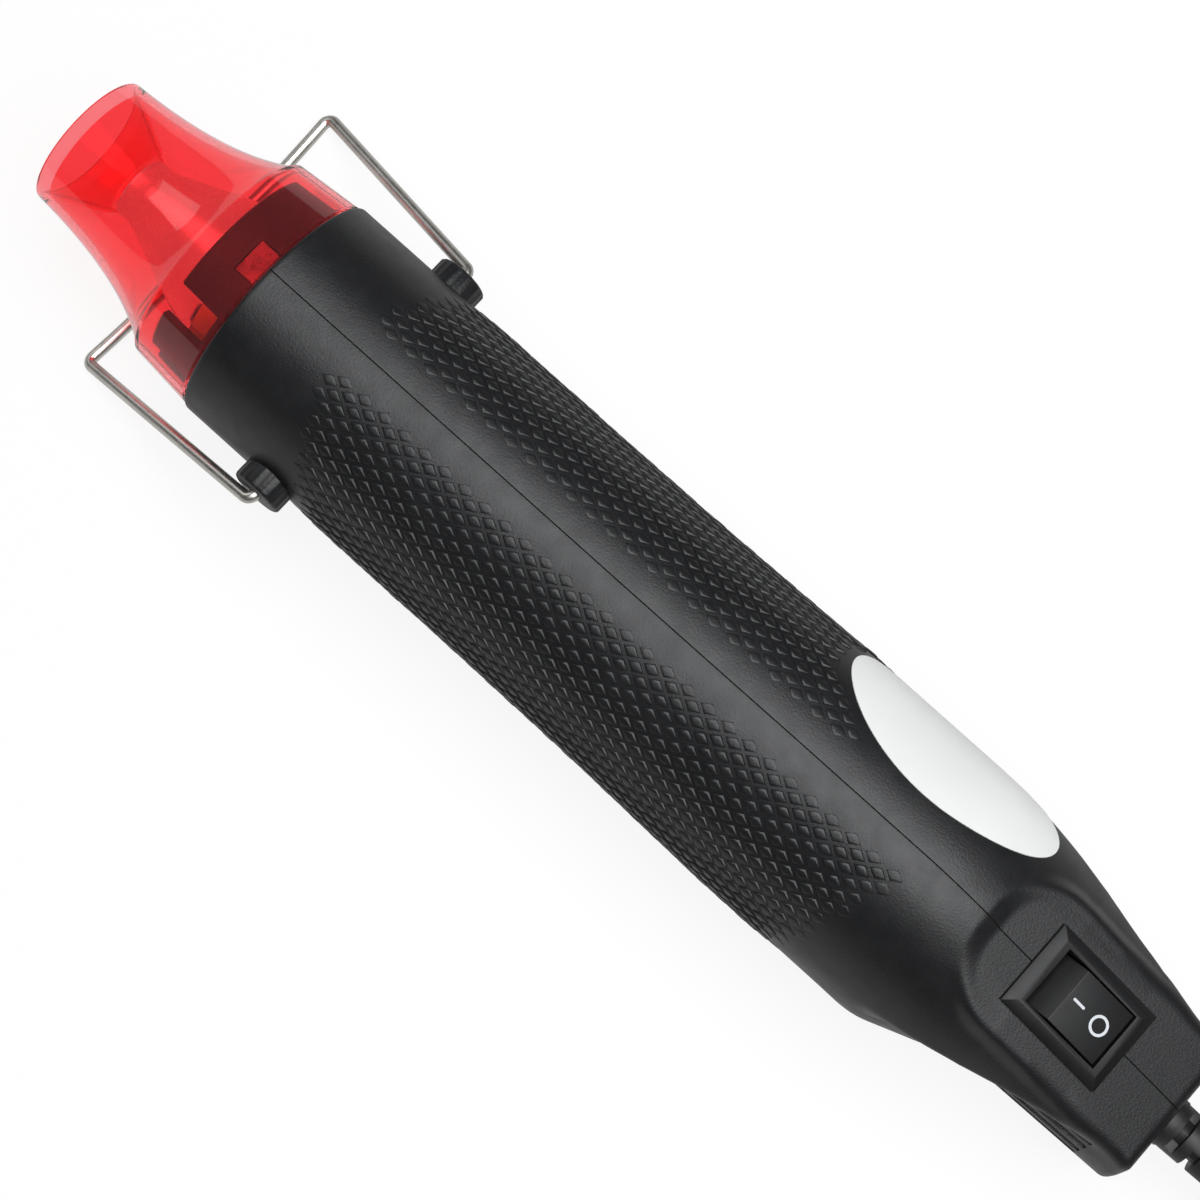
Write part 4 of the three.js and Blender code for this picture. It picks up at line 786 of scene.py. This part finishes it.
def make_label():
    """A thin oval on the skin, whose last ring folds down into the housing."""
    rings, steps = 24, 96
    x, angle, lift = [], [], []
    for ring in range(1, rings + 2):
        share = min(ring / rings, 1.0)
        for k in range(steps):
            turn = 2 * math.pi * k / steps
            x.append(LABEL_X + LABEL_LENGTH * share * math.cos(turn))
            angle.append(LABEL_ANGLE + LABEL_SPREAD * share * math.sin(turn))
            lift.append(LABEL_LIFT if ring <= rings else -LABEL_SINK)
    points = skin_point(np.array(x), np.array(angle), -1, np.array(lift))
    middle = skin_point(np.array([LABEL_X]), np.array([LABEL_ANGLE]), -1, LABEL_LIFT)
    points = np.concatenate([points, middle])
    faces = [(k, (k + 1) % steps, len(points) - 1) for k in range(steps)]
    for ring in range(rings):
        for k in range(steps):
            a, b = ring * steps + k, ring * steps + (k + 1) % steps
            faces.append((a, a + steps, b + steps, b))
    mesh = tidy(mesh_from("label_blank", [at(*p) for p in points], faces))
    link("label_blank", mesh, LABEL_WHITE, smooth_deg=40)


make_label()

# Studded grip on both halves. Each stud is a stack of diamonds (share of the pitch, height).
STUD_PITCH_X = 4.05
STUD_PITCH_ARC = 2.6
STUD_RINGS = ((0.8, -0.06), (0.73, 0.12), (0.6, 0.28), (0.45, 0.35), (0.2, 0.37))
STUD_FADE = (0.2, 4.5)
STUD_WEAR = (0.82, 1.08)
STUD_SEED = 11
GRIP_R = 21.2
GRIP_FROM_DEG = 12.5
GRIP_FRONT = (-15.0, -25.0)
GRIP_BACK = (-131.5, -123.0)
GRIP_BACK_BY_LABEL = -113.0
LABEL_MARGIN = (2.4, 0.1)


def near_label(x, angle):
    """Whether a stud of the right half would stand on the label or close to it."""
    return math.hypot((x - LABEL_X) / (LABEL_LENGTH + LABEL_MARGIN[0]),
                      (angle - LABEL_ANGLE) / (LABEL_SPREAD + LABEL_MARGIN[1])) < 1


def stud_places(side):
    """Centres (x, angle) and shares of full height of the studs of one half, clear of the label.
    They get lower towards the edge of the grip."""
    step = STUD_PITCH_ARC / 2 / GRIP_R
    seam = math.radians(GRIP_FROM_DEG)
    rows = int((math.pi - 2 * seam) / step)
    columns = int((GRIP_FRONT[0] - GRIP_BACK[0]) / (STUD_PITCH_X / 2))
    places = []
    for j in range(rows + 1):
        angle = seam + (j + 0.5) * step
        from_seam = min(angle, math.pi - angle)
        share = from_seam / (math.pi / 2)
        front = GRIP_FRONT[0] + (GRIP_FRONT[1] - GRIP_FRONT[0]) * share
        back = GRIP_BACK[0] + (GRIP_BACK[1] - GRIP_BACK[0]) * share
        if side < 0 and angle < LABEL_ANGLE:
            back = GRIP_BACK_BY_LABEL
        for i in range(columns + 1):
            x = GRIP_FRONT[0] - (i + 0.5) * STUD_PITCH_X / 2
            if (i + j) % 2 or not back < x < front or (side < 0 and near_label(x, angle)):
                continue
            edge = min(front - x, x - back, (from_seam - seam) * GRIP_R)
            height = STUD_FADE[0] + (1 - STUD_FADE[0]) * edge / STUD_FADE[1]
            places.append((x, angle, min(1.0, height)))
    return places


def make_grip(name, side):
    places = np.array(stud_places(side))
    places[:, 2] *= np.random.default_rng(STUD_SEED).uniform(*STUD_WEAR, len(places))
    corners = ((1, 0), (0, 1), (-1, 0), (0, -1))
    x, angle, lift = [], [], []
    for scale, height in STUD_RINGS:
        for cx, ca in corners:
            x.append(places[:, 0] + cx * scale * STUD_PITCH_X / 2)
            angle.append(places[:, 1] + ca * scale * STUD_PITCH_ARC / 2 / GRIP_R)
            lift.append(height * places[:, 2] if height > 0 else np.full(len(places), height))
    points = skin_point(np.array(x), np.array(angle), side, np.array(lift))
    points = points.transpose(1, 0, 2).reshape(-1, 3)
    faces = []
    rings = len(STUD_RINGS)
    for stud in range(len(places)):
        base = stud * 4 * rings
        for ring in range(rings - 1):
            for k in range(4):
                a, b = base + ring * 4 + k, base + ring * 4 + (k + 1) % 4
                faces.append((a, b, b + 4, a + 4))
        faces.append(tuple(base + 4 * rings - 4 + k for k in range(4)))
    mesh = mesh_from(name, [at(*p) for p in points], faces)
    work = bmesh.new()
    work.from_mesh(mesh)
    bmesh.ops.holes_fill(work, edges=[e for e in work.edges if e.is_boundary], sides=4)
    bmesh.ops.recalc_face_normals(work, faces=work.faces)
    work.to_mesh(mesh)
    work.free()
    link(name, mesh, GRIP_BLACK, smooth_deg=50)


make_grip("grip_left", 1)
make_grip("grip_right", -1)

# Guard
GUARD_WALL = 1.2
GUARD_BASE_R = 20.4
GUARD_CREASE = (11.6, 19.4)
GUARD_TIP = (40.3, 11.8)
GUARD_BEND = (0.34, 0.12)
GUARD_TIP_ROUND = 0.35
FUNNEL = (29.6, 5.6)


def make_guard():
    """The guard as one turned loop: outside, mouth, funnel and inside."""
    tip_x, tip_r = GUARD_TIP
    crease_x, crease_r = GUARD_CREASE
    mouth_r = tip_r - GUARD_WALL
    bend = (crease_x + (tip_x - crease_x) * GUARD_BEND[0],
            tip_r + (crease_r - tip_r) * GUARD_BEND[1])
    inner_bend = (bend[0] - GUARD_WALL / 2, bend[1] - GUARD_WALL)
    profile = [(0.3, GUARD_BASE_R - 0.25), (0.55, GUARD_BASE_R)]
    profile += [(crease_x - 0.5, crease_r + 0.05), (crease_x, crease_r)]
    outside = bezier((crease_x + 0.4, crease_r - 0.6), bend, (tip_x - 0.4, tip_r + 0.01), 20)
    profile += [tuple(p) for p in outside[1:-1]]
    profile += [(tip_x - GUARD_TIP_ROUND * (1 - math.sin(turn)),
                 tip_r - GUARD_TIP_ROUND * (1 - math.cos(turn)))
                for turn in np.linspace(0, math.pi / 2, 4)]
    profile += [(tip_x, mouth_r + 0.3), (tip_x - 0.3, mouth_r)]
    funnel_x, funnel_r = FUNNEL
    profile += [(funnel_x + 0.2, funnel_r), (funnel_x, funnel_r + 0.3),
                (funnel_x + 0.3, funnel_r + GUARD_WALL * 0.8)]
    rim = (tip_x - 1.8 * GUARD_WALL, mouth_r)
    inside = bezier(rim, inner_bend, (crease_x, crease_r - GUARD_WALL), 18)
    profile += [rim] + [tuple(p) for p in inside[1:]]
    profile += [(0.3, GUARD_BASE_R - GUARD_WALL)]
    guard = link("guard_clear", turned("guard_clear", profile, 128), GUARD_RED, smooth_deg=25)
    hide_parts("nozzle_guard")


make_guard()

# Heat nozzle inside the guard: a loop of (x, radius), outside and then inside
NOZZLE_PROFILE = [
    (-1.0, 12.7), (-1.0, 13.3), (6.6, 13.3), (7.4, 13.0), (26.0, 5.45), (26.8, 5.3), (29.1, 5.3),
    (29.3, 5.0), (29.1, 4.7), (26.6, 4.7), (7.0, 12.5), (6.0, 12.7),
]


def make_nozzle():
    mesh = turned("nozzle_cone", NOZZLE_PROFILE)
    nozzle = link("nozzle_cone", mesh, NOZZLE_STEEL, smooth_deg=30)
    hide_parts("heat_nozzle")


make_nozzle()

# Wire stand
WIRE_R = 1.0
WIRE_Y = 25.2
WIRE_SEAT = 5.0
WIRE_END_GAP = 0.3
WIRE_BEND_R = 1.3
STAND_REACH = 44.1
STAND_LEFT_Y = 23.6
STAND_RIGHT_Y = 34.0
STAND_BOW = 1.2
STAND_DIP = math.asin((AXIS_HEIGHT - WIRE_R) / STAND_REACH)


def rounded(corners, steps=8):
    """A polyline whose corners (point, radius) are arcs."""
    path = [corners[0][0]]
    for (a, _), (b, radius), (c, _) in zip(corners, corners[1:], corners[2:]):
        if radius == 0:
            path.append(b)
            continue
        back, on = (a - b).normalized(), (c - b).normalized()
        half = back.angle(on) / 2
        centre = b + (back + on).normalized() * radius / math.sin(half)
        start = b + back * radius / math.tan(half) - centre
        stop = b + on * radius / math.tan(half) - centre
        turn = start.angle(stop)
        square = (stop - start * math.cos(turn)) / math.sin(turn)
        for k in range(steps + 1):
            part = turn * k / steps
            path.append(centre + start * math.cos(part) + square * math.sin(part))
    path.append(corners[-1][0])
    return path


def make_stand():
    """The wire's loop, drawn flat and then dipped until its bar lies on the table."""
    end = BOSS_FACE_Y - WIRE_SEAT + WIRE_END_GAP
    bend = WIRE_Y - BOSS_FACE_Y
    flat = [(0, end, 0), (0, WIRE_Y, bend), (STAND_REACH, STAND_LEFT_Y, WIRE_BEND_R)]
    for t in np.linspace(0.1, 0.9, 9):
        y = STAND_LEFT_Y - (STAND_LEFT_Y + STAND_RIGHT_Y) * t
        flat.append((STAND_REACH - STAND_BOW * 4 * t * (1 - t), y, 0))
    flat += [(STAND_REACH, -STAND_RIGHT_Y, WIRE_BEND_R), (0, -WIRE_Y, bend), (0, -end, 0)]
    dip = Matrix.Rotation(STAND_DIP, 3, "Y")
    pivot = Vector((BOSS_X, 0, 0))
    corners = [(dip @ Vector((x, y, 0)) + pivot, radius) for x, y, radius in flat]
    path = [at(*p) for p in rounded(corners)]
    mesh = tube("stand_wire", path, WIRE_R * MM, 20)
    stand = link("stand_wire", mesh, WIRE_STEEL, "stand", smooth_deg=50)
    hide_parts("wire_stand")


make_stand()

# Rocker switch
FACET_N = 1.5
MARK_T = 0.03
ROCKER_SIDE = [(-7.0, FACET_N), (3.12, FACET_N), (7.15, -1.9), (6.0, -3.4), (-5.0, -2.0),
               (-6.6, -1.2)]
ROCKER_HALF = 4.8
ROCKER_EDGE = 0.12
I_MARK = ((2.0, -0.25), (0.0, -0.25))
I_HALF = 0.22
O_MARK = (-3.7, 0.0)
O_R = (1.2, 1.66)


def flat_mark(name, outer, inner=None):
    """A thin printed mark on the long facet, from an outline (s, y) and an optional inner one."""
    rings = [(outer, 0.0), (outer, MARK_T)]
    if inner is not None:
        rings += [(inner, MARK_T), (inner, 0.0)]
    count = len(outer)
    points = [at(*(PAD_TURN @ Vector((s, y, FACET_N + n)))) for ring, n in rings for s, y in ring]
    faces = []
    for ring in range(len(rings) - (inner is None)):
        a, b = ring * count, (ring + 1) % len(rings) * count
        faces += [(a + k, a + (k + 1) % count, b + (k + 1) % count, b + k) for k in range(count)]
    if inner is None:
        faces += [tuple(range(count)), tuple(range(count, 2 * count))]
    link(name, tidy(mesh_from(name, points, faces)), MARK_WHITE, "rocker")


def rocker_mesh():
    """The rocker as a bevelled prism, from its side outline (s, n) on the switch face."""
    work = bmesh.new()
    rings = [[work.verts.new(at(*(PAD_TURN @ Vector((s, y, n))))) for s, n in ROCKER_SIDE]
             for y in (-ROCKER_HALF, ROCKER_HALF)]
    count = len(ROCKER_SIDE)
    work.faces.new(rings[0])
    work.faces.new(rings[1])
    for k in range(count):
        j = (k + 1) % count
        work.faces.new((rings[0][k], rings[0][j], rings[1][j], rings[1][k]))
    bmesh.ops.recalc_face_normals(work, faces=work.faces)
    bmesh.ops.bevel(work, geom=list(work.edges), offset=ROCKER_EDGE * MM, segments=3,
                    affect="EDGES", profile=0.5, clamp_overlap=True)
    mesh = bpy.data.meshes.new("rocker_body")
    work.to_mesh(mesh)
    work.free()
    return mesh


def make_switch():
    dress("switch_body", SWITCH_BLACK, 0.14, 2)
    rocker = link("rocker_body", rocker_mesh(), SWITCH_BLACK, "rocker", 35)
    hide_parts("switch_rocker")
    bar = []
    for (s, y), start in zip(I_MARK, (-90, 90)):
        for k in range(9):
            angle = math.radians(start + 180 * k / 8)
            bar.append((s + I_HALF * math.cos(angle), y + I_HALF * math.sin(angle)))
    flat_mark("mark_on", bar)
    turns = [2 * math.pi * k / 40 for k in range(40)]
    inner, outer = ([(O_MARK[0] + r * math.cos(a), O_MARK[1] + r * math.sin(a)) for a in turns]
                    for r in O_R)
    flat_mark("mark_off", outer, inner)


make_switch()

# CAD pieces that show little, with finishes of their own
FINISHES = {
    "nozzle_wrap": MICA_GOLD, "heater_tube": DULL_STEEL, "mica_sleeve": MICA_GOLD,
    "mica_board_flat": MICA_GOLD, "mica_board_upright": MICA_GOLD, "heating_coil": DULL_STEEL,
    "thermal_fuse": PALE_PLASTIC,
    "fan_impeller": GRIP_BLACK, "motor_shaft": BRIGHT_STEEL, "motor_armature": DULL_STEEL,
    "motor_can": BRIGHT_STEEL, "motor_magnet_lower": DULL_STEEL, "motor_magnet_upper": DULL_STEEL,
    "motor_cap": PALE_PLASTIC, "rectifier_board": BOARD_GREEN, "switch_terminal_front": BRASS,
    "switch_terminal_back": BRASS,
}
FINISHES.update({f"rectifier_diode_{k}": SWITCH_BLACK for k in range(1, 5)})
FINISHES.update({f"housing_screw_{k}": BRIGHT_STEEL for k in range(1, 5)})
for node, material in FINISHES.items():
    nodes[node].data.materials.clear()
    nodes[node].data.materials.append(material)


# Table and light. The table is white to the camera and through the guard, and keeps a soft shadow.
# What mirrors it sees it dimmer, as a table outside the lamp's light would be.
TABLE_SIZE = 3.0
TABLE_COLOUR = (0.92, 0.92, 0.92, 1)
TABLE_WHITE_SHARE = 0.88
TABLE_MIRRORED = 0.6
SKY_LEVEL = 0.08
WHITE = (1, 1, 1, 1)
LAMP_COLOUR = (0.975, 0.985, 1.0)
# Each lamp's place, target and size in metres, and its power in watts.
LAMPS = {
    "overhead": ((-0.225, -0.08, 1.1), (-0.225, -0.08, 0), (1.35, 0.96), 17.4),
    "front": ((1.25, -0.05, 0.75), (0.12, 0, 0.03), (0.6, 0.5), 1.3),
}


def make_stage():
    work = bmesh.new()
    bmesh.ops.create_grid(work, x_segments=1, y_segments=1, size=TABLE_SIZE)
    mesh = bpy.data.meshes.new("table")
    work.to_mesh(mesh)
    work.free()
    table = bpy.data.objects.new("table", mesh)
    bpy.context.scene.collection.objects.link(table)
    material, tree, shader = new_material("table_white")
    shader.inputs["Base Color"].default_value = TABLE_COLOUR
    shader.inputs["Roughness"].default_value = 0.8
    shader.inputs["Specular IOR Level"].default_value = 0.1
    glow = add_node(tree, "ShaderNodeEmission", Strength=1.0)
    mirrored = add_node(tree, "ShaderNodeEmission", Strength=TABLE_MIRRORED)
    path = add_node(tree, "ShaderNodeLightPath")
    seen = add_node(tree, "ShaderNodeMath", operation="MAXIMUM")
    share = add_node(tree, "ShaderNodeMath", operation="MULTIPLY")
    share.inputs[1].default_value = TABLE_WHITE_SHARE
    glossy = add_node(tree, "ShaderNodeMath", operation="SUBTRACT", use_clamp=True)
    white_mix = add_node(tree, "ShaderNodeMixShader")
    mirror_mix = add_node(tree, "ShaderNodeMixShader")
    tree.links.new(path.outputs["Is Camera Ray"], seen.inputs[0])
    tree.links.new(path.outputs["Is Transmission Ray"], seen.inputs[1])
    tree.links.new(seen.outputs[0], share.inputs[0])
    tree.links.new(path.outputs["Is Glossy Ray"], glossy.inputs[0])
    tree.links.new(path.outputs["Is Transmission Ray"], glossy.inputs[1])
    tree.links.new(share.outputs[0], white_mix.inputs["Fac"])
    tree.links.new(shader.outputs["BSDF"], white_mix.inputs[1])
    tree.links.new(glow.outputs["Emission"], white_mix.inputs[2])
    tree.links.new(glossy.outputs[0], mirror_mix.inputs["Fac"])
    tree.links.new(white_mix.outputs["Shader"], mirror_mix.inputs[1])
    tree.links.new(mirrored.outputs["Emission"], mirror_mix.inputs[2])
    tree.links.new(mirror_mix.outputs["Shader"], tree.nodes["Material Output"].inputs["Surface"])
    mesh.materials.append(material)


def make_lamp(name, place, target, size, power):
    data = bpy.data.lights.new(name, "AREA")
    data.shape = "RECTANGLE"
    data.size, data.size_y = size
    data.energy = power
    data.color = LAMP_COLOUR
    lamp = bpy.data.objects.new(name, data)
    bpy.context.scene.collection.objects.link(lamp)
    lamp.location = place
    lamp.rotation_euler = (Vector(target) - Vector(place)).to_track_quat("-Z", "Y").to_euler()


def make_light():
    world = bpy.data.worlds.new("studio")
    world.use_nodes = True
    bpy.context.scene.world = world
    tree = world.node_tree
    sky = tree.nodes["Background"]
    sky.inputs["Color"].default_value = WHITE
    sky.inputs["Strength"].default_value = SKY_LEVEL
    white = add_node(tree, "ShaderNodeBackground", Strength=1.0)
    white.inputs["Color"].default_value = WHITE
    path = add_node(tree, "ShaderNodeLightPath")
    seen = add_node(tree, "ShaderNodeMath", operation="MAXIMUM")
    mix = add_node(tree, "ShaderNodeMixShader")
    tree.links.new(path.outputs["Is Camera Ray"], seen.inputs[0])
    tree.links.new(path.outputs["Is Transmission Ray"], seen.inputs[1])
    tree.links.new(seen.outputs[0], mix.inputs["Fac"])
    tree.links.new(sky.outputs["Background"], mix.inputs[1])
    tree.links.new(white.outputs["Background"], mix.inputs[2])
    tree.links.new(mix.outputs["Shader"], tree.nodes["World Output"].inputs["Surface"])
    for name, settings in LAMPS.items():
        make_lamp(name, *settings)


make_stage()
make_light()
